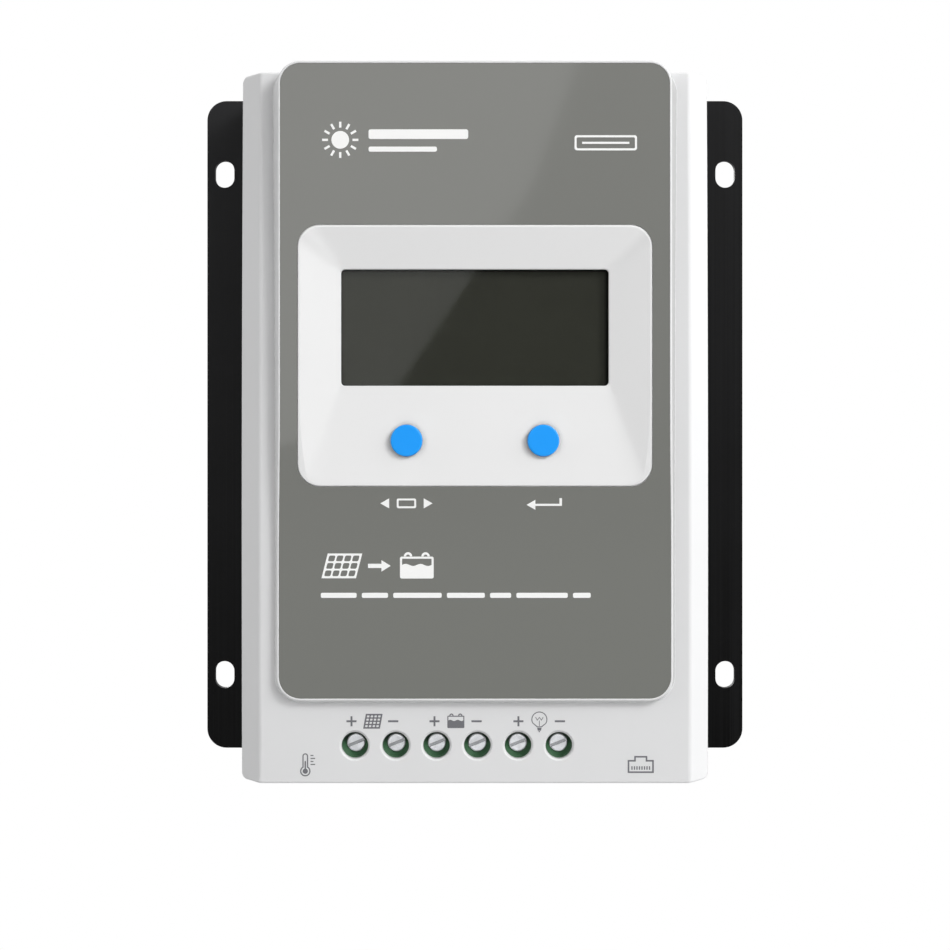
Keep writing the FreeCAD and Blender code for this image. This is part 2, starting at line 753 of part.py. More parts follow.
# ---------------------------------------------------------------------------
# Pane, display stack and display board
# ---------------------------------------------------------------------------
def display_stack():
    rear_d = dim.panel_front_d
    # label, half width, z0, z1, back depth, front depth
    for label, *extent in [
        ("display_window", dim.pane_half, dim.view_bottom - dim.pane_margin,
         dim.view_top + dim.pane_margin, dim.pane_back_d, dim.pane_front_d),
        ("lcd_glass", 32.5, 4.5, 40.0, 36.4, 38.6),
        ("lcd_backlight", 32.4, 7.1, 40.0, 34.2, 36.4),
        ("zebra_strip", 30, 4.7, 6.7, rear_d, 36.4),
    ]:
        piece(slab(0, *extent), label)
    stack_room = slab(0, 32.6, 4.4, 40.1, 34.2, 40)
    strip_slot = slab(0, 30.1, 4.6, 6.8, 33, 35)
    frame = slab(0, 35.8, 3.4, 42.6, rear_d, 38.8)
    piece(cut(frame, [stack_room, strip_slot]), "lcd_frame")


def display_board():
    board = slab(0, dim.panel_half, dim.panel_bottom, dim.panel_top,
                 dim.panel_back_d, dim.panel_front_d)
    holes = [rod(x, z, 31, 35, dim.panel_screw_rad + 0.1) for x, z in PANEL_SCREWS]
    piece(cut(board, holes), "display_board")

    head_radius, head_height = 2.0, 1.5
    tip_d = 37.8
    back_d = dim.panel_back_d
    screws = []
    for x, z in PANEL_SCREWS:
        solid = fuse([rod(x, z, back_d - head_height, back_d, head_radius),
                      rod(x, z, back_d - 0.1, tip_d, dim.panel_screw_rad)])
        recess = cross(x, z, half_slot=0.3, half_span=1.4, d0=back_d - 2, d1=back_d - 0.8)
        screws.append(cut(solid, recess))
    piece(group(screws), "display_board_screws")


def tact_switches():
    """Push switch bodies, each with a round well for its plunger."""
    half = dim.tact_half
    well = dim.plunger_rad + dim.slide_gap
    piece(group([
        cut(block(x, z, half, half, dim.tact_back_d, dim.tact_front_d),
            [rod(x, z, dim.plunger_floor_d, 38, well)])
        for x, z in BUTTONS
    ]), "tact_switch_bodies")


def buttons():
    """Left button is select, right button is enter, each with its switch plunger."""
    edge = dim.button_edge
    back_d, front_d = dim.button_flange_back_d, dim.button_flange_front_d
    for side, (x, z) in zip(("select", "enter"), BUTTONS):
        plunger = rod(x, z, dim.plunger_back_d, dim.stem_back_d, dim.plunger_rad)
        piece(plunger, side + "_plunger")
        cap = revolved(side + "_cap", [
            (0, dim.stem_back_d), (dim.stem_rad, dim.stem_back_d), (dim.stem_rad, back_d),
            (dim.button_flange_rad, back_d), (dim.button_flange_rad, front_d),
            (dim.button_rad, front_d), (dim.button_rad, dim.button_top_d - edge, edge, 1),
            (dim.button_rad - edge, dim.button_top_d), (0, dim.button_top_d),
        ])
        put(cap, x, 0, z, Rotation(Vector(1, 0, 0), 180))
        piece(cap, side + "_button")


# ---------------------------------------------------------------------------
# Terminal block: moulded housing with six poles, each with a captive slotted
# screw, a rising clamp cage and a fixed current bar
# ---------------------------------------------------------------------------
def terminal_housing():
    cage_end_gap = 0.9
    mouth_flare, mouth_deep = 0.9, 1.1
    groove_half, groove_deep = 0.25, 0.5
    face_z, back_z, pole_z = dim.block_face_z, dim.block_back_z, dim.pole_z
    tools = []
    for x in POLES:
        # screw: head bore, driver funnel with a fine step in its slope, shank bore
        tools.append(rod(x, pole_z, dim.head_back_d, 40, dim.head_bore))
        tools.append(cone(x, pole_z, dim.funnel_from_d, dim.block_front_d + 0.05,
                          dim.head_bore, dim.funnel_rad))
        tools.append(rod(x, pole_z, dim.funnel_step_d, 38, dim.funnel_step_rad))
        tools.append(rod(x, pole_z, dim.ledge_d - 0.5, dim.head_back_d + 0.5, dim.shank_bore))
        # cage room
        tools.append(block(x, pole_z, dim.cage_half + dim.cage_room,
                           dim.cage_deep / 2 + cage_end_gap, dim.cage_back_d - 0.2, dim.ledge_d))
        # wire entry
        tools.append(slab(x, dim.entry_half, face_z - PAST, CAGE_LOW_Z - 0.5,
                          dim.entry_back_d, dim.bar_back_d))
        # slot for the bent leg of the current bar
        tools.append(slab(x, dim.bar_half, CAGE_HIGH_Z + 0.5, CAGE_HIGH_Z + 2.1,
                          16, dim.bar_front_d))
        # wider mouth around the wire entry
        tools.append(slab(x, dim.entry_half + mouth_flare, face_z - PAST, face_z + mouth_deep,
                          dim.entry_back_d - mouth_flare, dim.bar_back_d + mouth_flare))
    # grooves between the poles on the wire side and on the front
    for i in range(1, len(POLES)):
        x = dim.block_left + dim.pole_pitch * i
        tools.append(slab(x, groove_half, face_z - PAST, face_z + groove_deep, 17.5, 36.5))
        tools.append(slab(x, groove_half, face_z + 1.5, back_z - 1.5,
                          dim.block_front_d - groove_deep, 38.5))
    housing = box(dim.block_left, dim.block_right, face_z, back_z,
                  dim.block_back_d, dim.block_front_d)
    piece(cut(housing, tools), "terminal_housing")


def terminal_screws():
    """Slotted cheese-head screws with a rounded rim and a bevelled tip."""
    edge = 0.3
    radius, tip_d = dim.shank_rad, dim.shank_tip_d
    back_d, front_d = dim.head_back_d, dim.head_front_d
    half_slot = dim.slot_cut_wide / 2
    turn = Rotation(Vector(0, 1, 0), 90 - dim.slot_angle.value)
    turn = turn.multiply(Rotation(Vector(1, 0, 0), 180))
    for i, x in enumerate(POLES, 1):
        body = revolved("screw", [
            (0, tip_d), (radius - edge, tip_d), (radius, tip_d + edge), (radius, back_d),
            (dim.head_rad, back_d), (dim.head_rad, front_d - edge, edge, 1),
            (dim.head_rad - edge, front_d), (0, front_d),
        ])
        slot = sketch(body, "XY", "driver_slot")
        rect(slot, -half_slot, half_slot, front_d - dim.slot_cut_deep, front_d + PAST)
        pocket(body, slot, symmetric=True)
        put(body, x, 0, dim.pole_z, turn)
        piece(body, "terminal_screw_%d" % i)


def clamp_cages():
    """Rectangular loops open along z, with a round hole in the front wall."""
    outer = dim.cage_half
    inner = outer - dim.cage_wall
    for i, x in enumerate(POLES, 1):
        body = new_body("cage")
        section = sketch(body, "XY", "cage_section", CAGE_LOW_Z)
        rect(section, -outer, outer, -dim.cage_front_d, -dim.cage_back_d)
        rect(section, -inner, inner, -dim.cage_front_d + dim.cage_roof,
             -dim.cage_back_d - dim.cage_floor)
        pad(body, section, dim.cage_deep)
        hole = sketch(body, "XZ", "cage_thread", dim.cage_front_d + PAST)
        circles(hole, [(0, dim.pole_z)], dim.shank_rad + 0.03)
        pocket(body, hole, dim.cage_roof + 2 * PAST)
        put(body, x, 0, 0)
        piece(body, "clamp_cage_%d" % i)


def current_bars():
    """Flat bar through each cage, with a leg bent toward the board and a round pin."""
    half = dim.bar_half - 0.05
    end_z = CAGE_HIGH_Z + 2.0
    pin_radius = 0.43
    piece(group([
        fuse([
            slab(x, half, CAGE_LOW_Z - 0.7, end_z, dim.bar_back_d, dim.bar_front_d),
            slab(x, half, CAGE_HIGH_Z + 1.1, end_z, 17.1, dim.bar_front_d),
            rod(x, BAR_PIN_Z, *HOLES_D, pin_radius),
        ])
        for x in POLES
    ]), "current_bars")


# ---------------------------------------------------------------------------
# Communication socket and sensor header
# ---------------------------------------------------------------------------
def com_socket():
    x, half, skin = dim.com_x, dim.com_half, dim.com_skin
    face_z, back_z = dim.com_face_z, dim.com_back_z
    back_d, front_d = dim.block_back_d, dim.com_front_d
    contacts_x = [x - 3.57 + 1.02 * i for i in range(8)]
    cavity_end_z = face_z + 12.5

    shield = slab(x, half, face_z, back_z, back_d, front_d)
    room = slab(x, half - skin, face_z - PAST, back_z - skin, back_d - PAST, front_d - skin)
    piece(cut(shield, [room]), "com_socket_shield")

    # stepped plug cavity: half width, back depth, front depth
    cavity = [(5.9, 19.6, 26.4), (3.1, 26.0, 28.0), (1.7, 27.5, 29.0)]
    tools = [slab(x, half_step, face_z - PAST, cavity_end_z, d0, d1)
             for half_step, d0, d1 in cavity]
    tools += [slab(contact, 0.3, face_z + 2, cavity_end_z, 18.4, 20) for contact in contacts_x]
    housing = slab(x, half - skin, face_z + 0.1, back_z - skin, back_d, front_d - skin)
    piece(cut(housing, tools), "com_socket_housing")

    # contact strip and its raised loop: z0 and z1 above the face, back and front depth
    strips = [(2.4, 12.4, 18.6, 19.0), (3.0, 3.5, 18.8, 20.9),
              (3.0, 8.0, 20.5, 20.9), (7.6, 8.0, 18.8, 20.9)]
    piece(group([
        fuse([slab(contact, 0.2, face_z + z0, face_z + z1, d0, d1) for z0, z1, d0, d1 in strips])
        for contact in contacts_x
    ]), "com_socket_contacts")


def sensor_header():
    wall = 0.8
    pin_half = 0.5
    x, half = dim.sense_x, dim.sense_half
    face_z, back_z = dim.sense_face_z, dim.sense_back_z
    back_d, front_d = dim.block_back_d, dim.sense_front_d
    tools = [slab(x, half - wall, face_z - PAST, back_z - 1.6, back_d + wall, front_d - wall)]
    tools += [slab(pin, pin_half, back_z - 3, back_z + PAST, *SENSE_PIN_D) for pin in SENSE_PINS]
    housing = slab(x, half, face_z, back_z, back_d, front_d)
    piece(cut(housing, tools), "sensor_header")

    # right-angle pins: a straight run and a leg through the board
    piece(group([
        fuse([slab(pin, pin_half, face_z + 1.2, back_z + 1.4, *SENSE_PIN_D),
              slab(pin, pin_half, back_z + 0.4, back_z + 1.4, 14.2, SENSE_PIN_D[1])])
        for pin in SENSE_PINS
    ]), "sensor_pins")


# ---------------------------------------------------------------------------
# Main board and fasteners
# ---------------------------------------------------------------------------
def main_board():
    notch_margin, notch_half = 3.5, 3.6
    tools = []
    # side notches around the cover bosses
    for side in SIDES:
        inner = (dim.boss_x - notch_margin) * side
        outer = (dim.board_half + PAST) * side
        for z in (dim.boss_low_z, dim.boss_high_z):
            tools.append(box(*(inner, outer)[::side], z - notch_half, z + notch_half, *HOLES_D))
    tools += [rod(x, z, *HOLES_D, 1.6) for x, z in STANDOFFS]
    tools += [rod(x, BAR_PIN_Z, *HOLES_D, 0.6) for x in POLES]
    tools += [rod(x, dim.sense_back_z + 0.9, *HOLES_D, 0.8) for x in SENSE_PINS]
    # lead slot and screw access hole of each transistor
    for x in TRANSISTORS:
        tools.append(slab(x, 3.4, TRANSISTOR_Z - 9.0, TRANSISTOR_Z - 7.6, *HOLES_D))
        tools.append(rod(x, TRANSISTOR_HOLE_Z, *HOLES_D, 3.2))
    board = slab(0, dim.board_half, dim.board_bottom, dim.board_top,
                 dim.board_back_d, dim.board_front_d)
    piece(cut(board, tools), "main_board")


def board_standoffs():
    """Round posts with a spigot in the web and a blind hole from the front."""
    front_d = dim.web_front_d
    piece(group([
        cut(fuse([rod(x, z, front_d, dim.board_back_d, dim.standoff_rad),
                  rod(x, z, dim.web_back_d + 0.2, front_d + 0.2, dim.screw_rad)]),
            [rod(x, z, front_d + 1.2, dim.board_back_d + PAST, 1.25)])
        for x, z in STANDOFFS
    ]), "board_standoffs")


def pan_screw(x, z, seat_d, length, shank_radius, head_side=1):
    """Cross-recess pan-head screw. The head sits on seat_d, in front of it for
    head_side +1 and behind it for -1."""
    crown_d = seat_d + dim.screw_head * head_side
    tip_d = seat_d - length * head_side
    joint_d = seat_d + 0.1 * head_side
    solid = fuse([rod(x, z, *(seat_d, crown_d)[::head_side], dim.screw_head_rad),
                  rod(x, z, *(tip_d, joint_d)[::head_side], shank_radius)])
    return cut(solid, cross(x, z, half_slot=0.35, half_span=1.5, d0=crown_d - 1, d1=crown_d + 1))


def screws():
    short, long = 5.2, 15.0
    piece(group([pan_screw(x, z, dim.board_front_d, short, 1.25) for x, z in STANDOFFS]),
          "main_board_screws")
    piece(group([pan_screw(x, z, dim.web_back_d, long, dim.screw_rad, head_side=-1)
                 for x, z in BOSSES]), "cover_screws")
    piece(group([pan_screw(x, TRANSISTOR_HOLE_Z, TRANSISTOR_BACK_D + 2.1, short, dim.screw_rad)
                 for x in TRANSISTORS]), "transistor_screws")


# ---------------------------------------------------------------------------
# Parts of the main board
# ---------------------------------------------------------------------------
BOARD_D = dim.board_front_d


def power_transistors():
    """Transistors on an insulating pad under the board, leads bent up into it."""
    back_d = TRANSISTOR_BACK_D
    hole_z = TRANSISTOR_HOLE_Z
    case_half, tab_end = 4.6, 12.6
    tab_front_d = back_d + 1.3
    lead_pitch, lead_half = 2.54, 0.4
    lead_end_z = TRANSISTOR_Z - 8.6
    lead_back_d, lead_front_d = back_d + 2.2, back_d + 2.7

    sheet_ = slab(0, 35, TRANSISTOR_Z - 6, TRANSISTOR_Z + 15, dim.web_front_d, back_d)
    piece(cut(sheet_, [rod(x, hole_z, 9, 11, 1.8) for x in TRANSISTORS]), "thermal_pad")

    transistors = []
    for x in TRANSISTORS:
        solids = [block(x, TRANSISTOR_Z, 5, case_half, back_d, back_d + 4.4),
                  slab(x, 5, TRANSISTOR_Z + case_half, TRANSISTOR_Z + tab_end,
                       back_d, tab_front_d)]
        for i in (-1, 0, 1):
            lead_x = x + i * lead_pitch
            solids.append(slab(lead_x, lead_half, lead_end_z, TRANSISTOR_Z - 4.5,
                               lead_back_d, lead_front_d))
            solids.append(slab(lead_x, lead_half, lead_end_z, TRANSISTOR_Z - 8.0,
                               lead_back_d, BOARD_D + 1.0))
        transistors.append(cut(fuse(solids), [rod(x, hole_z, 9, 14, 1.9)]))
    piece(group(transistors), "power_transistors")

    # flanged bushes around the screws
    piece(group([
        cut(fuse([rod(x, hole_z, tab_front_d, back_d + 2.1, 3.0),
                  rod(x, hole_z, back_d + 0.2, back_d + 1.4, 1.85)]),
            [rod(x, hole_z, 9, 14, dim.screw_rad)])
        for x in TRANSISTORS
    ]), "transistor_bushes")


def inductor():
    """Round-section ring core, a winding of separate turns and a base."""
    x, z, centre_d = 24.0, 22.0, 25.25
    ring_radius, core_radius = 10.5, 4.4
    turn_radius, wire_radius = 5.1, 0.6
    turn_count = 18
    piece(primitive("Torus", x, -centre_d, z, FORWARD, Radius1=ring_radius, Radius2=core_radius),
          "inductor_core")
    turns = []
    for i in range(turn_count):
        angle = math.radians(360 / turn_count * i)
        right, up = math.cos(angle), math.sin(angle)
        turns.append(primitive("Torus", x + ring_radius * right, -centre_d, z + ring_radius * up,
                               Rotation(Vector(0, 0, 1), Vector(-up, 0, right)),
                               Radius1=turn_radius, Radius2=wire_radius))
    piece(group(turns), "inductor_winding")
    piece(cut(rod(x, z, BOARD_D, 19.4, 16.6), [rod(x, z, 16, 20, 3.0)]), "inductor_base")


def capacitors():
    """Round cans in sleeves that are open in front."""
    places = [(-32.5, -42.0), (-13.5, -42.0), (5.5, -42.0)]  # x, z
    can = (BOARD_D + 0.5, 37.2, 7.85)  # back depth, front depth, radius
    piece(group([rod(x, z, *can) for x, z in places]), "capacitor_cans")
    piece(group([
        cut(rod(x, z, BOARD_D, 37.4, 8.0), [rod(x, z, *can), rod(x, z, 37, 38, 6.8)])
        for x, z in places
    ]), "capacitor_sleeves")


def fuse_and_shunt():
    x, z, body_back_d = 32.0, -40.0, 24.0
    piece(block(x, z, 9.5, 2.5, body_back_d, 36.0), "fuse_body")
    piece(group([block(x + offset, z, 2.5, 0.4, BOARD_D, body_back_d)
                 for offset in (-6.5, 6.5)]), "fuse_blades")

    # shunt: a wire bridge along z with square corners and a square collar at each end
    x, z, bridge_d = 32.0, -25.0, 21.0
    half_span, wire_radius = 5.0, 0.9
    bridge = primitive("Cylinder", x, -bridge_d, z - half_span,
                       Radius=wire_radius, Height=2 * half_span)
    legs = [rod(x, z + half_span * side, BOARD_D, bridge_d, wire_radius) for side in SIDES]
    collars = cut(block(x, z, wire_radius, half_span + wire_radius, 20.2, 21.8),
                  [block(x, z, 2, 4.5, 20, 22)])
    piece(fuse([bridge] + legs + [collars]), "shunt_resistor")


def chips():
    chip_x, chip_z, chip_half = -24.0, 16.0, 5
    drivers = [(-34.0, -14.0), (-24.0, -14.0), (20.0, -22.0)]  # x, z
    driver_half = 1.95
    chip_d = (BOARD_D + 0.1, BOARD_D + 1.6)
    lead_d = (BOARD_D, BOARD_D + 0.8)
    piece(block(chip_x, chip_z, chip_half, chip_half, *chip_d), "controller_chip")
    piece(group([block(x, z, driver_half, 2.45, *chip_d) for x, z in drivers]), "driver_chips")

    leads = []
    # controller: twelve leads on each of its four sides
    reach, half_long, half_wide = chip_half + 0.5, 0.5, 0.15
    for i in range(12):
        offset = -4.4 + 0.8 * i
        for side in SIDES:
            leads.append(block(chip_x + reach * side, chip_z + offset,
                               half_long, half_wide, *lead_d))
            leads.append(block(chip_x + offset, chip_z + reach * side,
                               half_wide, half_long, *lead_d))
    # drivers: four leads on the left and four on the right
    half_long, half_wide = 0.525, 0.2
    reach = driver_half + half_long
    for x, z in drivers:
        for i in range(4):
            offset = -1.905 + 1.27 * i
            for side in SIDES:
                leads.append(block(x + reach * side, z + offset, half_long, half_wide, *lead_d))
    piece(group(leads), "chip_leads")


def board_connector():
    """Header on the main board, socket on the display board and the pins."""
    z, pitch, count = -13.0, 2.54, 10
    hole_radius, pin_radius = 0.45, 0.32
    joint_d = BOARD_D + 2.5
    pins = [-11.43 + pitch * i for i in range(count)]
    half_length, half_height = pitch * count / 2, pitch / 2
    piece(cut(block(0, z, half_length, half_height, BOARD_D, joint_d),
              [rod(x, z, 16, 20, hole_radius) for x in pins]), "stack_header")
    piece(cut(block(0, z, half_length, half_height, joint_d, dim.panel_back_d),
              [rod(x, z, 19, 27, hole_radius) for x in pins]), "stack_socket")
    piece(group([rod(x, z, BOARD_D, 26.5, pin_radius) for x in pins]), "header_pins")


def chip_grid(label, columns, rows, first, pitch, size, height):
    """Grid of small blocks on the board; first, pitch and size are (x, z) pairs."""
    parts = []
    for i in range(columns):
        for j in range(rows):
            x, z = first[0] + pitch[0] * i, first[1] + pitch[1] * j
            parts.append(box(x, x + size[0], z, z + size[1], BOARD_D, BOARD_D + height))
    piece(group(parts), label)


def small_parts():
    chip_grid("chip_resistors", columns=6, rows=3, first=(-41.0, 36.0), pitch=(3.4, 3.2),
              size=(2.0, 1.2), height=0.55)
    chip_grid("chip_capacitors", columns=5, rows=2, first=(-40.0, 0.0), pitch=(3.8, 3.6),
              size=(2.2, 1.4), height=1.2)


# ---------------------------------------------------------------------------
# Build, check, and write one STEP file per piece
# ---------------------------------------------------------------------------
for build in (
    heat_sink_base, front_cover, overlay, display_bezel, display_stack, display_board,
    tact_switches, buttons, terminal_housing, terminal_screws, clamp_cages, current_bars,
    com_socket, sensor_header, main_board, board_standoffs, screws, power_transistors,
    inductor, capacitors, fuse_and_shunt, chips, board_connector, small_parts,
):
    build()

doc.recompute()
faults = []
for obj in doc.Objects:
    if "Invalid" in obj.State or "Error" in obj.State:
        faults.append(obj.Name + " " + str(obj.State))
for obj in pieces:
    if obj.Shape.isNull() or not obj.Shape.isValid() or not obj.Shape.Solids:
        faults.append(obj.Label + " shape")
if faults:
    raise RuntimeError("faulty objects: " + "; ".join(faults))

os.makedirs("parts", exist_ok=True)
for obj in pieces:
    obj.Shape.exportStep(os.path.join("parts", obj.Label + ".step"))
print(len(pieces), "pieces")
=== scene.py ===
"""Upright boxed unit: pale front cover, printed overlay, windowed display, two blue keys
and a row of six green screw terminals, on a black finned heat sink.

+X is right seen from the front, +Z is up, and the front faces -Y, towards the camera.
The script gives the loaded pieces their materials, adds the printed marks and sets the stage.
"""
import bpy
import bmesh
import json
import math
from functools import cached_property
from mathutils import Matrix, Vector
from mathutils.bvhtree import BVHTree
from mathutils.geometry import tessellate_polygon


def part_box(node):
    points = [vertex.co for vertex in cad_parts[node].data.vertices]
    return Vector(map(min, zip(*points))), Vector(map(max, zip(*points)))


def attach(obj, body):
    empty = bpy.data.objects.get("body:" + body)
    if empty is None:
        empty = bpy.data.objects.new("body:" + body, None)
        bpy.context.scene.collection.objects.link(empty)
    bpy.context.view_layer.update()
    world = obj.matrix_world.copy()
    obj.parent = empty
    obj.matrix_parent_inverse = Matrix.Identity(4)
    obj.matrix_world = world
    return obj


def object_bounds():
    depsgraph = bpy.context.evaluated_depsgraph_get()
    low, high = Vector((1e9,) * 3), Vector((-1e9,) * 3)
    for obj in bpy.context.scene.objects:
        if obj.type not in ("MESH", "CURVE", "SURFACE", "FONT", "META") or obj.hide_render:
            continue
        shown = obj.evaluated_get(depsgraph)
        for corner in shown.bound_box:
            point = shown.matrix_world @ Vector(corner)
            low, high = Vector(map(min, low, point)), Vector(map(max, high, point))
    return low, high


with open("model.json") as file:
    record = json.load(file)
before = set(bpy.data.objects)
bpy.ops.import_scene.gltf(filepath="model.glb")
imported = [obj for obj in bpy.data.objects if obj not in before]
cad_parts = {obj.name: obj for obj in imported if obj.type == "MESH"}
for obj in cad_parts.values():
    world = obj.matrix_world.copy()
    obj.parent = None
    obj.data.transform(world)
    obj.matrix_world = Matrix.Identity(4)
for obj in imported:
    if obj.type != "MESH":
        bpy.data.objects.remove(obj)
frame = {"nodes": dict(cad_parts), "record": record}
cad_low, cad_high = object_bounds()
nodes = frame["nodes"]
scene = bpy.context.scene
scene.view_settings.view_transform = "Standard"
scene.view_settings.look = "None"
scene.view_settings.exposure = 0.0
scene.view_settings.gamma = 1.0

MM = 0.001
TRACE_SAMPLES = 6  # rays of each bevel and ambient-occlusion node
MATERIALS = {}


# ---------------------------------------------------------------------------
# Node-tree helper
# ---------------------------------------------------------------------------
class Shader:
    """A node tree being built: most methods add a node and return its useful output.

    span is the input range of a remap, and may run downwards; to is its output range.
    """

    def __init__(self, tree, output_kind, coord_kind):
        self.tree = tree
        tree.nodes.clear()
        self.output = self.node(output_kind)
        self.coord_kind = coord_kind

    @cached_property
    def coords(self):
        return self.node("ShaderNodeTexCoord").outputs[self.coord_kind]

    def feed(self, socket, value):
        """Link an output to the socket, or set the socket's value."""
        if isinstance(value, bpy.types.NodeSocket):
            self.tree.links.new(value, socket)
        elif socket.type == "RGBA":
            socket.default_value = (*value, 1.0)
        else:
            socket.default_value = value

    def feed_all(self, sockets, values):
        for socket, value in zip(sockets, values):
            self.feed(socket, value)

    def node(self, kind, **inputs):
        new = self.tree.nodes.new(kind)
        for key, value in inputs.items():
            self.feed(new.inputs[key.replace("_", " ")], value)
        return new

    # coordinates and directions
    def scaled(self, x, y, z):
        return self.node("ShaderNodeMapping", Vector=self.coords, Scale=(x, y, z)).outputs["Vector"]

    def separate(self, vector):
        new = self.tree.nodes.new("ShaderNodeSeparateXYZ")
        self.feed(new.inputs[0], vector)
        return new.outputs

    def axis(self, index):
        return self.separate(self.coords)[index]

    def facing(self):
        """World x, y and z of the surface normal."""
        return self.separate(self.node("ShaderNodeNewGeometry").outputs["Normal"])

    # textures
    def noise(self, scale, detail=2.0, rough=0.5, vector=None, distortion=0.0):
        return self.node("ShaderNodeTexNoise", Vector=vector or self.coords, Scale=scale,
                         Detail=detail, Roughness=rough, Distortion=distortion).outputs["Fac"]

    def voronoi(self, scale, feature="F1"):
        new = self.node("ShaderNodeTexVoronoi", Scale=scale, Vector=self.coords)
        new.feature = feature
        return new.outputs["Distance"]

    # arithmetic
    def remap(self, value, span, to=(0.0, 1.0), smooth=True):
        new = self.node("ShaderNodeMapRange", Value=value, From_Min=span[0], From_Max=span[1],
                        To_Min=to[0], To_Max=to[1])
        new.interpolation_type = "SMOOTHSTEP" if smooth else "LINEAR"
        return new.outputs["Result"]

    def math(self, operation, first, second=0.0):
        new = self.node("ShaderNodeMath")
        new.operation = operation
        self.feed_all(new.inputs, (first, second))
        return new.outputs[0]

    def add(self, first, second):
        return self.math("ADD", first, second)

    def multiply(self, first, second):
        return self.math("MULTIPLY", first, second)

    def vector_value(self, operation, *vectors):
        new = self.node("ShaderNodeVectorMath")
        new.operation = operation
        self.feed_all(new.inputs, vectors)
        return new.outputs["Value"]

    # colours
    def mix(self, factor, base, other):
        new = self.node("ShaderNodeMix")
        new.data_type = "RGBA"
        # of the sockets for every data type, 0 is the factor, 6 and 7 are the two colours
        self.feed_all((new.inputs[0], new.inputs[6], new.inputs[7]), (factor, base, other))
        return new.outputs[2]

    def blend(self, base, other, by, span, most=1.0, smooth=True):
        """Base turning to other, by at most the given share, as a value crosses the span."""
        return self.mix(self.remap(by, span, to=(0.0, most), smooth=smooth), base, other)

    def edge_blend(self, base, other, radius, amount, span=(0.01, 0.12), broken_by=None):
        """Other colour on sharp edges, in patches where broken_by is given."""
        mask = self.edges(radius, span)
        if broken_by is not None:
            mask = self.multiply(mask, broken_by)
        return self.mix(self.multiply(mask, amount), base, other)

    # surface shape
    def soft_normal(self, radius):
        new = self.node("ShaderNodeBevel", Radius=radius)
        new.samples = TRACE_SAMPLES
        return new.outputs["Normal"]

    def edges(self, radius, span):
        """1 on sharp edges, 0 on flats: compares a rounded normal with the true one."""
        rounded = self.soft_normal(radius)
        true = self.node("ShaderNodeNewGeometry").outputs["Normal"]
        agreement = self.vector_value("DOT_PRODUCT", rounded, true)
        return self.remap(self.math("SUBTRACT", 1.0, agreement), span)

    def occlusion(self, distance, local=False):
        new = self.node("ShaderNodeAmbientOcclusion", Distance=distance)
        new.samples = TRACE_SAMPLES
        new.only_local = local
        return new.outputs["AO"]

    def bump(self, height, distance, normal=None):
        new = self.node("ShaderNodeBump", Strength=1.0, Distance=distance, Height=height)
        if normal is not None:
            self.feed(new.inputs["Normal"], normal)
        return new.outputs["Normal"]

    # shaders
    def mix_shader(self, factor, first, second):
        new = self.node("ShaderNodeMixShader")
        self.feed_all(new.inputs, (factor, first, second))
        return new.outputs[0]

    def emission(self, strength):
        return self.node("ShaderNodeEmission", Color=(1.0, 1.0, 1.0), Strength=strength).outputs[0]

    def surface(self, shader):
        self.feed(self.output.inputs["Surface"], shader)

    def principled(self, **inputs):
        self.surface(self.node("ShaderNodeBsdfPrincipled", **inputs).outputs["BSDF"])


def new_material(name):
    material = bpy.data.materials.new(name)
    material.use_nodes = True
    MATERIALS[name] = material
    return Shader(material.node_tree, "ShaderNodeOutputMaterial", "Object")


def shade(color, factor):
    return tuple(min(1.0, channel * factor) for channel in color)


# ---------------------------------------------------------------------------
# Material families
# ---------------------------------------------------------------------------
def moulded(name, color, rough=0.42, grain=0.22, depth=0.004, tint=0.05,
            edge=None, edge_mm=0.25, edge_amount=0.35, soft_mm=0.0, soft_zone=None,
            coat=0.0, spec=0.5, flow=True, dirt=0.0, dirt_color=(0.35, 0.33, 0.30),
            tone=None, finish=None):
    """Injection-moulded plastic: eroded grain, flow marks, slow colour drift, lightened edges
    (wear, and where the edge colour is near white also a painted highlight).

    grain and depth are the size and height of the texture in mm, tint the strength of the
    colour drift. soft_zone(m) gives an edge radius that varies in place of soft_mm.
    tone(m, col) and finish(m, col) adjust the colour before and after wear and dirt.
    """
    m = new_material(name)
    slow = m.noise(scale=22.0, detail=3.0, rough=0.55)
    fine = m.noise(scale=1.0 / (grain * MM), detail=3.0, rough=0.65)
    pits = m.voronoi(scale=1.0 / (grain * 1.6 * MM))

    dark = shade(color, 1 - tint)
    light = shade(color, 1 + tint * 0.6)
    col = m.blend(dark, light, by=slow, span=(0.3, 0.7))
    col = m.blend(col, dark, by=fine, span=(0.35, 0.65), most=0.22 * (tint / 0.05))
    if tone is not None:
        col = tone(m, col)
    if edge is not None:
        patches = m.remap(m.noise(scale=900.0, detail=3.0, rough=0.6),
                          span=(0.35, 0.62), to=(0.25, 1.0))
        col = m.edge_blend(col, edge, edge_mm * MM, edge_amount, broken_by=patches)
    if dirt:
        specks = m.noise(scale=130.0, detail=4.0, rough=0.7)
        col = m.blend(col, dirt_color, by=specks, span=(0.58, 0.8), most=dirt)
    if finish is not None:
        col = finish(m, col)

    roughness = m.add(m.remap(slow, span=(0.25, 0.75), to=(rough - 0.05, rough + 0.04)),
                      m.remap(fine, span=(0.3, 0.7), to=(-0.03, 0.05)))
    height = m.add(fine, m.multiply(pits, 0.6))
    if flow:
        streaks = m.noise(scale=60.0, vector=m.scaled(1.0, 1.0, 0.18), distortion=0.4)
        height = m.add(height, m.multiply(streaks, 0.5))
    base = None
    if soft_zone is not None:
        base = m.soft_normal(soft_zone(m))
    elif soft_mm:
        base = m.soft_normal(soft_mm * MM)
    m.principled(Base_Color=col, Roughness=roughness, Normal=m.bump(height, depth * MM, base),
                 Specular_IOR_Level=spec, Coat_Weight=coat, Coat_Roughness=0.08)


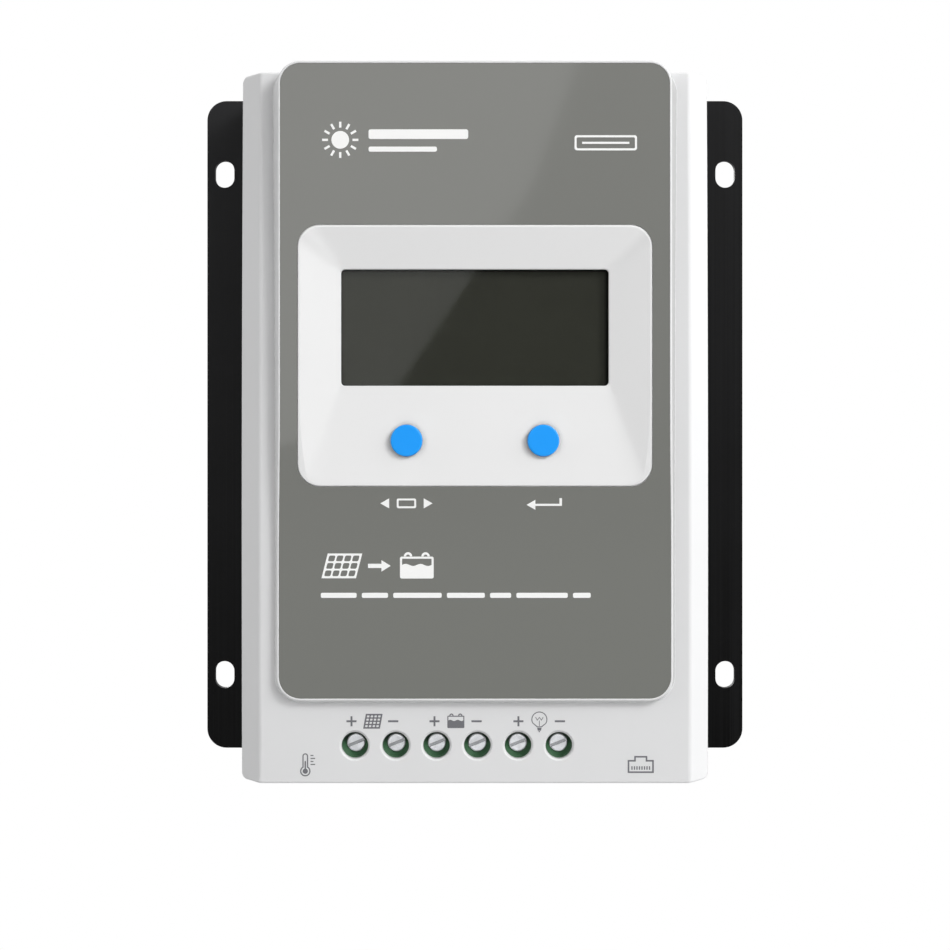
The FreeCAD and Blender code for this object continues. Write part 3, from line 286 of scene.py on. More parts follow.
def metal(name, color, rough, brush_scale, brush=(1.0, 1.0, 1.0), depth=0.002, tint=0.1,
          edge=None):
    """Metal with tooling marks stretched along the small axis of brush, stains, rubbed edges."""
    m = new_material(name)
    slow = m.noise(scale=45.0, detail=4.0, rough=0.6)
    lines = m.noise(scale=brush_scale, detail=3.0, rough=0.6, vector=m.scaled(*brush))
    fine = m.noise(scale=5200.0, rough=0.6)
    dark = shade(color, 1 - tint)
    col = m.blend(dark, color, by=slow, span=(0.3, 0.7))
    col = m.blend(col, dark, by=lines, span=(0.35, 0.65), most=0.5)
    if edge is not None:
        patches = m.remap(m.noise(scale=700.0, detail=4.0, rough=0.7),
                          span=(0.38, 0.66), to=(0.15, 1.0))
        col = m.edge_blend(col, edge, radius=0.15 * MM, amount=0.5, broken_by=patches)
    roughness = m.add(m.remap(slow, span=(0.25, 0.75), to=(rough - 0.06, rough + 0.06)),
                      m.remap(lines, span=(0.3, 0.7), to=(-0.05, 0.08)))
    height = m.add(lines, m.multiply(fine, 0.35))
    m.principled(Base_Color=col, Roughness=roughness, Metallic=1.0,
                 Normal=m.bump(height, depth * MM))


def print_ink(name, color, rough):
    """Screen-printed ink with a fine grain."""
    m = new_material(name)
    grain = m.noise(scale=7000.0, rough=0.7)
    slow = m.noise(scale=120.0, detail=3.0, rough=0.6)
    col = m.blend(color, shade(color, 0.88), by=grain, span=(0.35, 0.75), most=0.25)
    col = m.blend(col, shade(color, 0.93), by=slow, span=(0.3, 0.7), most=0.15)
    m.principled(Base_Color=col,
                 Roughness=m.remap(grain, span=(0.3, 0.7), to=(rough - 0.05, rough + 0.05)),
                 Normal=m.bump(grain, 0.0015 * MM), Specular_IOR_Level=0.4)


# ---------------------------------------------------------------------------
# Local adjustments of moulded plastics
# ---------------------------------------------------------------------------
def painted_shade_on_walls(m, col):
    """Painted shade: faces turned right, left and up are greyer, so that the light on them does not
    burn them out.
    """
    normal = m.facing()
    right = m.remap(normal[0], span=(0.82, 0.97), to=(0.0, 0.62))
    left = m.remap(normal[0], span=(-0.82, -0.97), to=(0.0, 0.10))
    top = m.remap(normal[2], span=(0.82, 0.97), to=(0.0, 0.25))
    return m.mix(m.add(m.add(right, left), top), col, (0.26, 0.26, 0.255))


def painted_shade_in_wells(m, col):
    """Painted shade: well walls that face down, deep enough for ambient occlusion to find, are
    darkened.
    """
    normal = m.facing()
    deep = m.remap(m.occlusion(5.0 * MM), span=(0.95, 0.60))
    down = m.remap(normal[2], span=(0.15, -0.35), to=(0.0, 0.96))
    return m.mix(m.multiply(deep, down), col, (0.003, 0.006, 0.004))


def pale_bounce(m, col):
    """Neighbouring surfaces see a pale colour, so that it does not tint them."""
    seen = m.node("ShaderNodeLightPath")
    return m.mix(seen.outputs["Is Camera Ray"], (0.72, 0.75, 0.80), col)


def dish_blend(m):
    """Edge radius: wide on the dish walls, tight at the outline and the display opening."""
    x = m.math("ABSOLUTE", m.axis(0))
    z = m.axis(2)

    def inside(side, top, bottom):
        return m.multiply(m.remap(x, side), m.multiply(m.remap(z, top), m.remap(z, bottom)))

    dish = inside(side=(0.0400, 0.0384), top=(0.0452, 0.0436), bottom=(-0.0126, -0.0110))
    opening = inside(side=(0.0345, 0.0330), top=(0.0396, 0.0384), bottom=(0.0066, 0.0078))
    wide = m.multiply(dish, m.math("SUBTRACT", 1.0, opening))
    return m.add(m.multiply(wide, 2.2 * MM), 0.3 * MM)


def painted_light_on_top_wall(m, col):
    """Painted light: the upper wall of the dish, which faces down, is paler to offset the light it
    misses, fading at its mitred corners.
    """
    corner_x, corner_z, mitre_slope = 0.03195, 0.0370, 1.02
    x = m.math("ABSOLUTE", m.axis(0))
    z = m.axis(2)
    above_mitre = m.math("SUBTRACT", m.math("SUBTRACT", z, corner_z),
                         m.multiply(m.math("SUBTRACT", x, corner_x), mitre_slope))
    mask = m.multiply(m.remap(above_mitre, span=(-0.002, 0.002)),
                      m.remap(z, span=(0.0362, 0.0372)))
    return m.mix(mask, col, (0.90, 0.90, 0.90))


# ---------------------------------------------------------------------------
# Single materials
# ---------------------------------------------------------------------------
def overlay_film():
    """Printed overlay: textured grey ink under a clear layer, with a painted reflection that makes
    it lighter at the upper left.
    """
    m = new_material("overlay_film")
    slow = m.noise(scale=16.0, detail=3.0)
    grain = m.noise(scale=9000.0, rough=0.7)
    pebble = m.voronoi(scale=5200.0)
    x = m.axis(0)
    z = m.axis(2)
    # painted reflection: the ink turns lighter towards the upper left
    lean = m.add(m.multiply(x, -0.55), z)
    low, high = (0.180, 0.184, 0.168), (0.197, 0.199, 0.184)
    col = m.blend(low, high, by=lean, span=(-0.075, 0.11))
    col = m.blend(col, (0.155, 0.156, 0.148), by=slow, span=(0.3, 0.7), most=0.10)
    col = m.blend(col, (0.24, 0.24, 0.235), by=grain, span=(0.4, 0.7), most=0.10)
    col = m.edge_blend(col, (0.10, 0.10, 0.10), radius=0.2 * MM, amount=0.35)
    roughness = m.add(m.remap(slow, span=(0.25, 0.75), to=(0.40, 0.47)),
                      m.remap(grain, span=(0.3, 0.7), to=(-0.03, 0.04)))
    height = m.add(grain, m.multiply(pebble, 0.8))
    m.principled(Base_Color=col, Roughness=roughness, Normal=m.bump(height, 0.0012 * MM),
                 Specular_IOR_Level=0.35, Coat_Weight=0.75, Coat_Roughness=0.05)


def anodised_aluminium():
    """Black anodised extrusion: die lines along z, satin sheen, bare metal on rubbed edges; painted
    shade towards the bottom and the right, painted light on faces turned away from the front.
    """
    m = new_material("anodised_aluminium")
    lines = m.noise(scale=1.0, detail=3.0, rough=0.6, vector=m.scaled(3800.0, 3800.0, 9.0))
    wide = m.noise(scale=1.0, vector=m.scaled(420.0, 420.0, 4.0))
    slow = m.noise(scale=30.0, detail=4.0, rough=0.6)
    grain = m.noise(scale=6500.0, rough=0.6)
    # painted shade: darker towards the bottom, lighter towards the top
    bottom, top = (0.0035, 0.0035, 0.0037), (0.022, 0.022, 0.023)
    col = m.blend(bottom, top, by=m.axis(2), span=(-0.084, 0.084), smooth=False)
    # painted light: faces turned sideways and to the back (fins and back) are lighter, so that they
    # read from behind
    back = m.blend((0.022, 0.022, 0.024), (0.036, 0.036, 0.039), by=lines, span=(0.3, 0.7))
    col = m.blend(col, back, by=m.facing()[1], span=(-0.5, 0.0))
    # painted shade: darker towards the right, so that the right ear, which gets more light, reads a
    # little darker than the left
    col = m.blend(col, (0.0010, 0.0010, 0.0011), by=m.axis(0), span=(-0.055, 0.055),
                  most=0.55, smooth=False)
    col = m.blend(col, (0.030, 0.030, 0.032), by=lines, span=(0.4, 0.7), most=0.16)
    patches = m.remap(m.noise(scale=420.0, detail=4.0, rough=0.75), span=(0.5, 0.72))
    col = m.edge_blend(col, (0.22, 0.22, 0.23), radius=0.18 * MM, amount=0.55,
                       span=(0.02, 0.2), broken_by=patches)
    roughness = m.add(m.remap(slow, span=(0.25, 0.75), to=(0.40, 0.50)),
                      m.remap(lines, span=(0.3, 0.7), to=(-0.06, 0.07)))
    height = m.add(m.multiply(lines, 0.7), m.add(m.multiply(wide, 0.6), m.multiply(grain, 0.35)))
    m.principled(Base_Color=col, Roughness=roughness, Metallic=0.0,
                 Normal=m.bump(height, 0.0025 * MM), Specular_IOR_Level=0.13)


def window_clear():
    """Clear window: mostly transparent, mirror-like at its surface, with faint smears."""
    m = new_material("window_clear")
    through = m.node("ShaderNodeBsdfTransparent", Color=(0.97, 0.975, 0.965))
    smear = m.noise(scale=70.0, detail=4.0, rough=0.7, vector=m.scaled(1.0, 1.0, 2.4),
                    distortion=1.2)
    mirror = m.node("ShaderNodeBsdfGlossy", Color=(1.0, 1.0, 1.0),
                    Roughness=m.remap(smear, span=(0.35, 0.75), to=(0.02, 0.05)))
    fresnel = m.node("ShaderNodeFresnel", IOR=1.25)
    m.surface(m.mix_shader(fresnel.outputs[0], through.outputs[0], mirror.outputs[0]))
    MATERIALS["window_clear"].blend_method = "BLEND"


def lcd_dark():
    """Display glass: dark grey-green with a fine grain, inside a painted shadow band along its
    edges.
    """
    m = new_material("lcd_dark")
    slow = m.noise(scale=35.0, detail=3.0)
    grain = m.noise(scale=7000.0, rough=0.6)
    col = m.blend((0.0500, 0.0505, 0.0400), (0.0550, 0.0556, 0.0440), by=slow, span=(0.3, 0.7))
    col = m.blend(col, (0.050, 0.051, 0.040), by=grain, span=(0.4, 0.7), most=0.12)
    # painted shadow of the window walls: a near-black band along the edges, widest at the top and
    # the right
    x = m.axis(0)
    z = m.axis(2)
    top = m.remap(z, span=(0.0371, 0.0364))
    right = m.remap(x, span=(0.0321, 0.0308))
    left = m.remap(x, span=(-0.0321, -0.0317))
    bottom = m.remap(z, span=(0.0092, 0.0095))
    clear_of_painted_shadow = m.multiply(m.multiply(top, right), m.multiply(left, bottom))
    col = m.mix(clear_of_painted_shadow, (0.0004, 0.0004, 0.0004), col)
    m.principled(Base_Color=col, Roughness=m.remap(slow, span=(0.25, 0.75), to=(0.30, 0.36)),
                 Normal=m.bump(grain, 0.00006 * MM), Specular_IOR_Level=m.multiply(clear_of_painted_shadow, 0.2))


def board_laminate():
    """Circuit board: green mask over a network of tracks, pale laminate at the edges."""
    m = new_material("board_laminate")
    cells = m.voronoi(scale=330.0, feature="DISTANCE_TO_EDGE")
    track = m.remap(cells, span=(0.06, 0.09), to=(1.0, 0.0))
    weave = m.noise(scale=2600.0)
    col = m.mix(track, (0.010, 0.085, 0.035), (0.030, 0.190, 0.085))
    col = m.blend(col, (0.05, 0.15, 0.07), by=weave, span=(0.4, 0.7), most=0.25)
    col = m.edge_blend(col, (0.45, 0.42, 0.25), radius=0.2 * MM, amount=0.6)
    height = m.add(track, m.multiply(weave, 0.3))
    m.principled(Base_Color=col, Roughness=m.remap(weave, span=(0.3, 0.7), to=(0.28, 0.38)),
                 Normal=m.bump(height, 0.02 * MM), Coat_Weight=0.4, Coat_Roughness=0.15)


def terminal_screw_zinc():
    """Zinc-plated screw: tooling marks, milky plating, bright rubbed rim, painted shade in the
    slot.
    """
    m = new_material("terminal_screw_zinc")
    plating = (0.90, 0.91, 0.94)
    slow = m.noise(scale=600.0, detail=4.0, rough=0.6)
    fine = m.noise(scale=5200.0, detail=3.0, rough=0.65)
    col = m.blend(shade(plating, 0.80), plating, by=slow, span=(0.3, 0.7))
    col = m.blend(col, (0.42, 0.44, 0.50), by=fine, span=(0.4, 0.7), most=0.25)
    # painted shade: the driver slot and the underside of the head are darkened where ambient
    # occlusion finds them
    painted_shade_hollows = m.occlusion(0.9 * MM, local=True)
    col = m.blend(col, (0.10, 0.11, 0.12), by=painted_shade_hollows, span=(0.92, 0.45), most=0.72)
    col = m.edge_blend(col, (0.99, 0.99, 1.0), radius=0.14 * MM, amount=0.75, span=(0.02, 0.22))
    lines = m.noise(scale=1.0, detail=3.0, rough=0.55, vector=m.scaled(5200.0, 300.0, 1300.0))
    height = m.add(lines, m.multiply(fine, 0.8))
    m.principled(Base_Color=col, Roughness=m.remap(fine, span=(0.3, 0.7), to=(0.30, 0.46)),
                 Metallic=0.40,
                 Normal=m.bump(height, 0.004 * MM, m.soft_normal(0.08 * MM)))


# ---------------------------------------------------------------------------
# Materials, one per slot of the record
# ---------------------------------------------------------------------------
# near-white edges: partly wear, partly a painted highlight along the rims and hole chamfers; the
# finish paints shade on faces turned to the light
moulded("cover_plastic", (0.735, 0.737, 0.742), rough=0.40, grain=0.20, depth=0.0035,
        tint=0.012, edge=(0.97, 0.97, 0.97), edge_mm=0.35, edge_amount=0.9, soft_mm=0.25,
        dirt=0.02, finish=painted_shade_on_walls)
# near-white edges: partly wear, partly a painted highlight along the outline and the display
# opening; the tone paints light on the upper wall of the dish
moulded("bezel_plastic", (0.803, 0.803, 0.803), rough=0.36, grain=0.16, depth=0.0025,
        tint=0.01, edge=(0.97, 0.97, 0.97), edge_mm=0.3, edge_amount=0.9,
        soft_zone=dish_blend, tone=painted_light_on_top_wall)
overlay_film()
anodised_aluminium()
window_clear()
lcd_dark()
board_laminate()
terminal_screw_zinc()
moulded("button_blue", (0.010, 0.345, 1.0), rough=0.38, grain=0.14, depth=0.002, tint=0.015,
        edge=(0.10, 0.45, 1.0), edge_mm=0.25, edge_amount=0.4, soft_mm=0.15, flow=False,
        spec=0.3, finish=pale_bounce)
# the finish paints shade into the terminal wells
moulded("terminal_green", (0.060, 0.170, 0.078), rough=0.34, grain=0.18, tint=0.10,
        edge=(0.16, 0.36, 0.20), edge_mm=0.2, edge_amount=0.5, soft_mm=0.12,
        dirt=0.12, dirt_color=(0.10, 0.16, 0.10), finish=painted_shade_in_wells)
moulded("diffuser_plastic", (0.80, 0.82, 0.84), rough=0.5, grain=0.3, tint=0.03)
moulded("frame_plastic", (0.030, 0.030, 0.031), rough=0.45, edge=(0.09, 0.09, 0.09))
moulded("black_rubber", (0.030, 0.030, 0.033), rough=0.72, grain=0.3, depth=0.01, tint=0.12)
metal("screw_steel", (0.62, 0.62, 0.64), rough=0.32, brush=(1.0, 0.2, 1.0), brush_scale=2600.0,
      depth=0.004, edge=(0.9, 0.9, 0.92))
moulded("black_plastic", (0.022, 0.022, 0.024), rough=0.40, tint=0.10,
        edge=(0.08, 0.08, 0.085), soft_mm=0.1)
moulded("black_plastic_plunger", (0.028, 0.028, 0.030), tint=0.10, edge=(0.08, 0.08, 0.08))
metal("brass_plated", (0.72, 0.56, 0.28), rough=0.28, brush=(1.0, 0.15, 1.0),
      brush_scale=2200.0, edge=(0.9, 0.78, 0.5))
metal("tinned_brass", (0.66, 0.65, 0.62), rough=0.34, brush_scale=1800.0,
      edge=(0.85, 0.84, 0.8))
metal("shield_steel", (0.68, 0.68, 0.69), rough=0.30, brush=(1.0, 1.0, 0.06),
      brush_scale=3000.0, edge=(0.9, 0.9, 0.9))
metal("gold_contact", (0.84, 0.62, 0.26), rough=0.22, brush_scale=2600.0,
      edge=(0.95, 0.8, 0.5))
moulded("pad_rubber", (0.33, 0.38, 0.44), rough=0.7, grain=0.35, depth=0.01, tint=0.08)
moulded("white_plastic", (0.72, 0.72, 0.69), tint=0.03)
moulded("core_yellow", (0.62, 0.46, 0.07), rough=0.38, grain=0.5, depth=0.02, tint=0.12)
metal("copper_wire", (0.66, 0.27, 0.10), rough=0.24, brush_scale=2400.0, tint=0.18,
      edge=(0.85, 0.5, 0.3))
metal("can_aluminium", (0.72, 0.73, 0.75), rough=0.3, brush=(1.0, 0.1, 1.0),
      brush_scale=1500.0)
moulded("sleeve_plastic", (0.015, 0.022, 0.055), rough=0.3, tint=0.10, coat=0.3)
moulded("fuse_plastic", (0.60, 0.58, 0.50), rough=0.3)
moulded("chip_ceramic", (0.025, 0.025, 0.027), rough=0.45, tint=0.12)
moulded("chip_tan", (0.42, 0.30, 0.18), rough=0.45, tint=0.10)
metal("cage_zinc", (0.60, 0.59, 0.56), rough=0.36, brush=(1.0, 1.0, 0.12),
      brush_scale=1600.0, depth=0.006, edge=(0.85, 0.84, 0.8))
print_ink("ink_white", (0.96, 0.96, 0.95), rough=0.45)
print_ink("ink_grey", (0.165, 0.165, 0.180), rough=0.55)

for row in frame["record"]["subparts"]:
    piece = nodes[row["node"]]
    material = MATERIALS[row["material_slot"]]
    if not piece.material_slots:
        piece.data.materials.append(material)
    for material_slot in piece.material_slots:
        material_slot.material = material


# ---------------------------------------------------------------------------
# Loops for the printed marks: lists of (x, z) in mm
# ---------------------------------------------------------------------------
def rect(left, right, bottom, top):
    return [(left, bottom), (right, bottom), (right, top), (left, top)]


def on_circle(centre_x, centre_z, radius, angles):
    return [(centre_x + radius * math.cos(angle), centre_z + radius * math.sin(angle))
            for angle in angles]


def disc(radius, steps=48):
    return on_circle(0, 0, radius, [2 * math.pi * i / steps for i in range(steps)])


def half_ring(centre_x, centre_z, inner, outer, steps=12):
    """Upper half of a flat ring."""
    there = [math.pi * i / steps for i in range(steps + 1)]
    back = [math.pi - math.pi * i / steps for i in range(steps + 1)]
    return (on_circle(centre_x, centre_z, outer, there)
            + on_circle(centre_x, centre_z, inner, back))


def round_rect(left, right, bottom, top, radius, steps=6):
    corners = ((right - radius, top - radius, 0), (left + radius, top - radius, 90),
               (left + radius, bottom + radius, 180), (right - radius, bottom + radius, 270))
    points = []
    for x, z, start in corners:
        angles = [math.radians(start + 90.0 * i / steps) for i in range(steps + 1)]
        points += on_circle(x, z, radius, angles)
    return points


def round_frame(left, right, bottom, top, radius, wall, inner_radius):
    """Rounded outline with a rounded hole: one shape."""
    hole = round_rect(left + wall, right - wall, bottom + wall, top - wall, inner_radius)
    return [round_rect(left, right, bottom, top, radius), hole[::-1]]


def line(start, end, width):
    (x0, z0), (x1, z1) = start, end
    dx, dz = x1 - x0, z1 - z0
    k = width / 2 / math.hypot(dx, dz)
    return [(x0 + dz * k, z0 - dx * k), (x1 + dz * k, z1 - dx * k),
            (x1 - dz * k, z1 + dx * k), (x0 - dz * k, z0 + dx * k)]


def stroke(points, width):
    """Open polyline of even width with mitred corners, as one loop."""
    left, right = [], []
    for i, (x, z) in enumerate(points):
        directions = []
        for (x0, z0), (x1, z1) in zip(points[max(i - 1, 0):i + 1], points[max(i, 1):i + 2]):
            length = math.hypot(x1 - x0, z1 - z0)
            directions.append(((x1 - x0) / length, (z1 - z0) / length))
        if i == 0:
            directions = directions[:1]
        normal_x = sum(-direction[1] for direction in directions)
        normal_z = sum(direction[0] for direction in directions)
        length = math.hypot(normal_x, normal_z)
        normal_x, normal_z = normal_x / length, normal_z / length
        cosine = normal_x * -directions[0][1] + normal_z * directions[0][0]
        reach = width / 2 / max(cosine, 0.35)
        left.append((x + normal_x * reach, z + normal_z * reach))
        right.append((x - normal_x * reach, z - normal_z * reach))
    return left + right[::-1]


# ---------------------------------------------------------------------------
# Pictograms: lists of shapes, each shape being [outer loop, hole, hole, ...]
# ---------------------------------------------------------------------------
def moved(shapes, dx, dz, scale=1.0):
    return [[[(x * scale + dx, z * scale + dz) for x, z in loop] for loop in loops]
            for loops in shapes]


def plus_icon(size, width):
    a, b = size / 2, width / 2
    return [[[(-b, -a), (b, -a), (b, -b), (a, -b), (a, b), (b, b),
              (b, a), (-b, a), (-b, b), (-a, b), (-a, -b), (-b, -b)]]]


def minus_icon(size, width):
    return [[rect(-size / 2, size / 2, -width / 2, width / 2)]]


def panel_icon(width, height, lean, columns, rows, border, bar):
    """Leaning panel with a grid of cells left open."""
    def skewed(points):
        return [(x + lean * (z / height), z) for x, z in points]

    inner_width, inner_height = width - 2 * border, height - 2 * border
    cell_width = (inner_width - bar * (columns - 1)) / columns
    cell_height = (inner_height - bar * (rows - 1)) / rows
    corner = min(cell_width, cell_height) * 0.22
    shape = [skewed(rect(-width / 2, width / 2, -height / 2, height / 2))]
    for i in range(columns):
        for j in range(rows):
            x = -inner_width / 2 + i * (cell_width + bar)
            z = -inner_height / 2 + j * (cell_height + bar)
            cell = round_rect(x, x + cell_width, z, z + cell_height, corner, steps=2)
            shape.append(skewed(cell[::-1]))
    return [shape]


def battery_icon(width, height, wall):
    """Case filled to a wavy level, with an open head space and two round posts."""
    body = round_rect(-width / 2, width / 2, -height / 2, height / 2, wall * 0.8, steps=3)
    level = -height / 2 + height * 0.62
    wave = [(-width / 2 + wall + (width - 2 * wall) * i / 16.0,
             level + 0.10 * height * 0.5 * math.sin(i / 16.0 * 4 * math.pi)) for i in range(17)]
    head = [(width / 2 - wall, height / 2 - wall), (-width / 2 + wall, height / 2 - wall)] + wave
    posts = [[half_ring(side * width * 0.26, height / 2 + 0.01 * height,
                        inner=0.055 * width, outer=0.125 * width)] for side in (-1, 1)]
    return [[body, head[::-1]]] + posts


def lamp_icon(radius, wall):
    """Lamp: balloon-shaped glass in outline, a bent filament on its stem and a filled cap."""
    neck_z = -radius * 0.98

    def glass(size, half_neck, bottom):
        balloon = on_circle(0, 0, size, [math.radians(a) for a in range(-32, 213, 7)])
        return balloon + [(-half_neck, bottom), (half_neck, bottom)]

    def below_neck(points):
        return [(x * radius, neck_z + z * radius) for x, z in points]

    # (x, z) as shares of the radius
    cap = [(-0.28, -0.06), (-0.20, -0.42), (0.20, -0.42), (0.28, -0.06)]
    tip = [(-0.12, -0.48), (-0.06, -0.62), (0.06, -0.62), (0.12, -0.48)]
    filament = [(-0.48, 0.30), (-0.26, -0.08), (0.0, 0.26), (0.26, -0.08), (0.48, 0.30)]
    inner = glass(radius - wall, 0.30 * radius - wall * 0.55, neck_z + wall)
    return [[glass(radius, 0.30 * radius, neck_z), inner[::-1]],
            [below_neck(cap)],
            [below_neck(tip)],
            [stroke([(x * radius, z * radius) for x, z in filament], wall * 0.72)],
            [rect(-wall * 0.36, wall * 0.36, neck_z + wall * 1.3, -0.14 * radius)]]


def sun_icon(radius, rays, ray_start, ray_end, ray_width):
    shapes = [[disc(radius)]]
    for i in range(rays):
        angle = 2 * math.pi * i / rays
        start, end = ((reach * math.cos(angle), reach * math.sin(angle))
                      for reach in (ray_start, ray_end))
        shapes.append([line(start, end, ray_width)])
    return shapes


def arrow_icon(length, width, head):
    tip, neck = length / 2, length / 2 - head
    return [[[(-tip, -width / 2), (neck, -width / 2), (neck, -head * 0.62), (tip, 0),
              (neck, head * 0.62), (neck, width / 2), (-tip, width / 2)]]]


def thermometer_icon():
    """Outlined tube and bulb, a filled core and four ticks on the right."""
    bulb_z, tube_top = -1.75, 1.85

    def vessel(bulb, half_tube, top):
        """Round bulb below a straight tube with a round end."""
        gap = math.degrees(math.asin(half_tube / bulb))
        angles = [math.radians(gap + (360 - 2 * gap) * i / 30.0) for i in range(31)]
        points = [(bulb * math.sin(a), bulb_z + bulb * math.cos(a)) for a in angles]
        end = [math.radians(180 - 18 * i) for i in range(11)]
        return points + on_circle(0, top, half_tube, end)

    shapes = [[vessel(1.25, 0.68, tube_top), vessel(0.96, 0.40, tube_top)[::-1]],
              [vessel(0.62, 0.17, 0.55)]]
    tick_left, tick_long, tick_short = 1.25, 2.35, 1.95
    tick_z, tick_pitch, half_tick = -0.15, 0.72, 0.13
    for i in range(4):
        z = tick_z + tick_pitch * i
        right = tick_long if i % 2 == 0 else tick_short
        shapes.append([rect(tick_left, right, z - half_tick, z + half_tick)])
    return shapes


def socket_icon():
    """Outline with a stepped throat, and eight contacts."""
    outer = [(-2.6, -1.7), (2.6, -1.7), (2.6, 0.9), (1.3, 0.9),
             (1.3, 1.7), (-1.3, 1.7), (-1.3, 0.9), (-2.6, 0.9)]
    inner = [(-2.28, -1.38), (-2.28, 0.58), (-0.98, 0.58), (-0.98, 1.38),
             (0.98, 1.38), (0.98, 0.58), (2.28, 0.58), (2.28, -1.38)]
    first_x, pitch, half_contact = -1.75, 0.5, 0.12
    contacts = []
    for i in range(8):
        x = first_x + pitch * i
        contacts.append([rect(x - half_contact, x + half_contact, -1.05, -0.35)])
    return [[outer, inner]] + contacts


def select_icon():
    """Rounded frame between two arrowheads pointing outwards."""
    return [[[(-6.2, 0), (-4.1, 1.2), (-4.1, -1.2)]],
            round_frame(-2.3, 2.3, -1.15, 1.15, radius=0.4, wall=0.45, inner_radius=0.2),
            [[(6.2, 0), (4.1, -1.2), (4.1, 1.2)]]]


def enter_icon():
    """Arrow pointing left, with its shaft turned up at the right end."""
    return [[[(-4.2, -0.35), (-2.1, 0.85), (-2.1, -0.10), (3.6, -0.10), (3.6, 1.25),
              (4.2, 1.25), (4.2, -0.60), (-2.1, -0.60), (-2.1, -1.55)]]]


def sun_and_bars():
    """Sun at the upper left with two bars to its right."""
    sun = sun_icon(2.1, rays=12, ray_start=2.9, ray_end=4.3, ray_width=0.55)
    return moved(sun, -31.9, 67.4) + [[round_rect(-25.2, -1.6, 67.6, 69.9, radius=0.5)],
                                      [round_rect(-25.2, -9.0, 64.6, 65.8, radius=0.4)]]


def name_plate():
    """Rounded frame at the upper right with a line inside."""
    return [round_frame(23.6, 38.4, 64.9, 68.5, radius=0.6, wall=0.5, inner_radius=0.3),
            [rect(25.4, 36.6, 66.45, 66.95)]]


def flow_diagram():
    """Panel, arrow and battery above a row of short bars."""
    row_z = -33.6
    panel = panel_icon(8.2, 5.9, lean=1.5, columns=4, rows=3, border=0.5, bar=0.42)
    shapes = moved(panel, -31.6, row_z)
    shapes += moved(arrow_icon(5.4, width=1.0, head=2.2), -22.7, row_z)
    shapes += moved(battery_icon(8.0, 5.2, wall=0.5), -13.8, -34.0)
    bar_x, bar_gap = -36.6, 1.25
    for width in (8.5, 6.2, 11.5, 9.0, 5.0, 12.2, 4.2):
        shapes.append([round_rect(bar_x, bar_x + width, -41.2, -40.0, radius=0.35)])
        bar_x += width + bar_gap
    return shapes


# ---------------------------------------------------------------------------
# Printing: thin closed solids laid on the surface below them
# ---------------------------------------------------------------------------
INK_THICKNESS = 0.02  # mm
INK_LIFT = 0.004      # mm, clearance between the ink and the surface
ON_COVER = dict(below="front_cover", ink="ink_grey", slot="overlay_film")
ON_OVERLAY = dict(below="overlay", ink="ink_white", slot="bezel_plastic")


def tree_of(name):
    mesh = nodes[name].data
    return BVHTree.FromPolygons([vertex.co.copy() for vertex in mesh.vertices],
                                [tuple(face.vertices) for face in mesh.polygons])


TREES = {name: tree_of(name) for name in ("overlay", "front_cover")}


def surface_y(name, x, z):
    hit = TREES[name].ray_cast(Vector((x, -0.3, z)), Vector((0, 1, 0)))
    if hit[0] is None:
        raise RuntimeError("no surface under a printed mark")
    return hit[0].y


def add_print(bm, loops, below):
    """One shape as a closed solid; its front and its back have the same triangles."""
    flat = [point for loop in loops for point in loop]
    triangles = tessellate_polygon([[Vector((x, z, 0.0)) for x, z in loop] for loop in loops])
    depths = [surface_y(below, x * MM, z * MM) for x, z in flat]
    front, back = ([bm.verts.new((x * MM, y - offset * MM, z * MM))
                    for (x, z), y in zip(flat, depths)]
                   for offset in (INK_THICKNESS + INK_LIFT, INK_LIFT))
    for a, b, c in triangles:
        bm.faces.new((front[a], front[b], front[c]))
        bm.faces.new((back[c], back[b], back[a]))
    first = 0
    for loop in loops:
        count = len(loop)
        for i in range(count):
            a, b = first + i, first + (i + 1) % count
            bm.faces.new((front[a], front[b], back[b], back[a]))
        first += count


def printed(name, shapes, below, ink, slot):
    bm = bmesh.new()
    for loops in shapes:
        add_print(bm, loops, below)
    bmesh.ops.recalc_face_normals(bm, faces=bm.faces)
    mesh = bpy.data.meshes.new(name)
    bm.to_mesh(mesh)
    bm.free()
    mark = bpy.data.objects.new(name, mesh)
    scene.collection.objects.link(mark)
    mesh.materials.append(MATERIALS[ink])
    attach(mark, "housing")


def middle(name, axis):
    """Middle of a piece along an axis, in mm."""
    low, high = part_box(name)
    return (getattr(low, axis) + getattr(high, axis)) / 2 / MM


TERMINAL_SCREWS = ["terminal_screw_%d" % i for i in range(1, 7)]
poles = [middle(name, "x") for name in TERMINAL_SCREWS]
pole_z = middle(TERMINAL_SCREWS[0], "z")
icon_z = pole_z + 5.85

# grey marks above each pair of terminals:
# name, shapes, x of plus, minus and icon from the middle of the pair, rise of the icon
PAIR_MARKS = [
    ("mark_panel", panel_icon(4.0, 3.55, lean=0.66, columns=4, rows=4, border=0.38, bar=0.31),
     -5.65, 4.3, -0.55, 0.0),
    ("mark_battery", battery_icon(4.05, 2.95, wall=0.24), -5.35, 4.7, -0.25, -0.15),
    ("mark_lamp", lamp_icon(1.9, wall=0.22), -4.82, 5.08, 0.18, 0.42),
]
for i, (name, icon, plus_dx, minus_dx, icon_dx, rise) in enumerate(PAIR_MARKS):
    pair_x = (poles[2 * i] + poles[2 * i + 1]) / 2
    plus = moved(plus_icon(2.4, width=0.46), pair_x + plus_dx, icon_z)
    minus = moved(minus_icon(2.45, width=0.46), pair_x + minus_dx, icon_z)
    printed("mark_plus_%d" % (i + 1), plus, **ON_COVER)
    printed("mark_minus_%d" % (i + 1), minus, **ON_COVER)
    printed(name, moved(icon, pair_x + icon_dx, icon_z + rise), **ON_COVER)

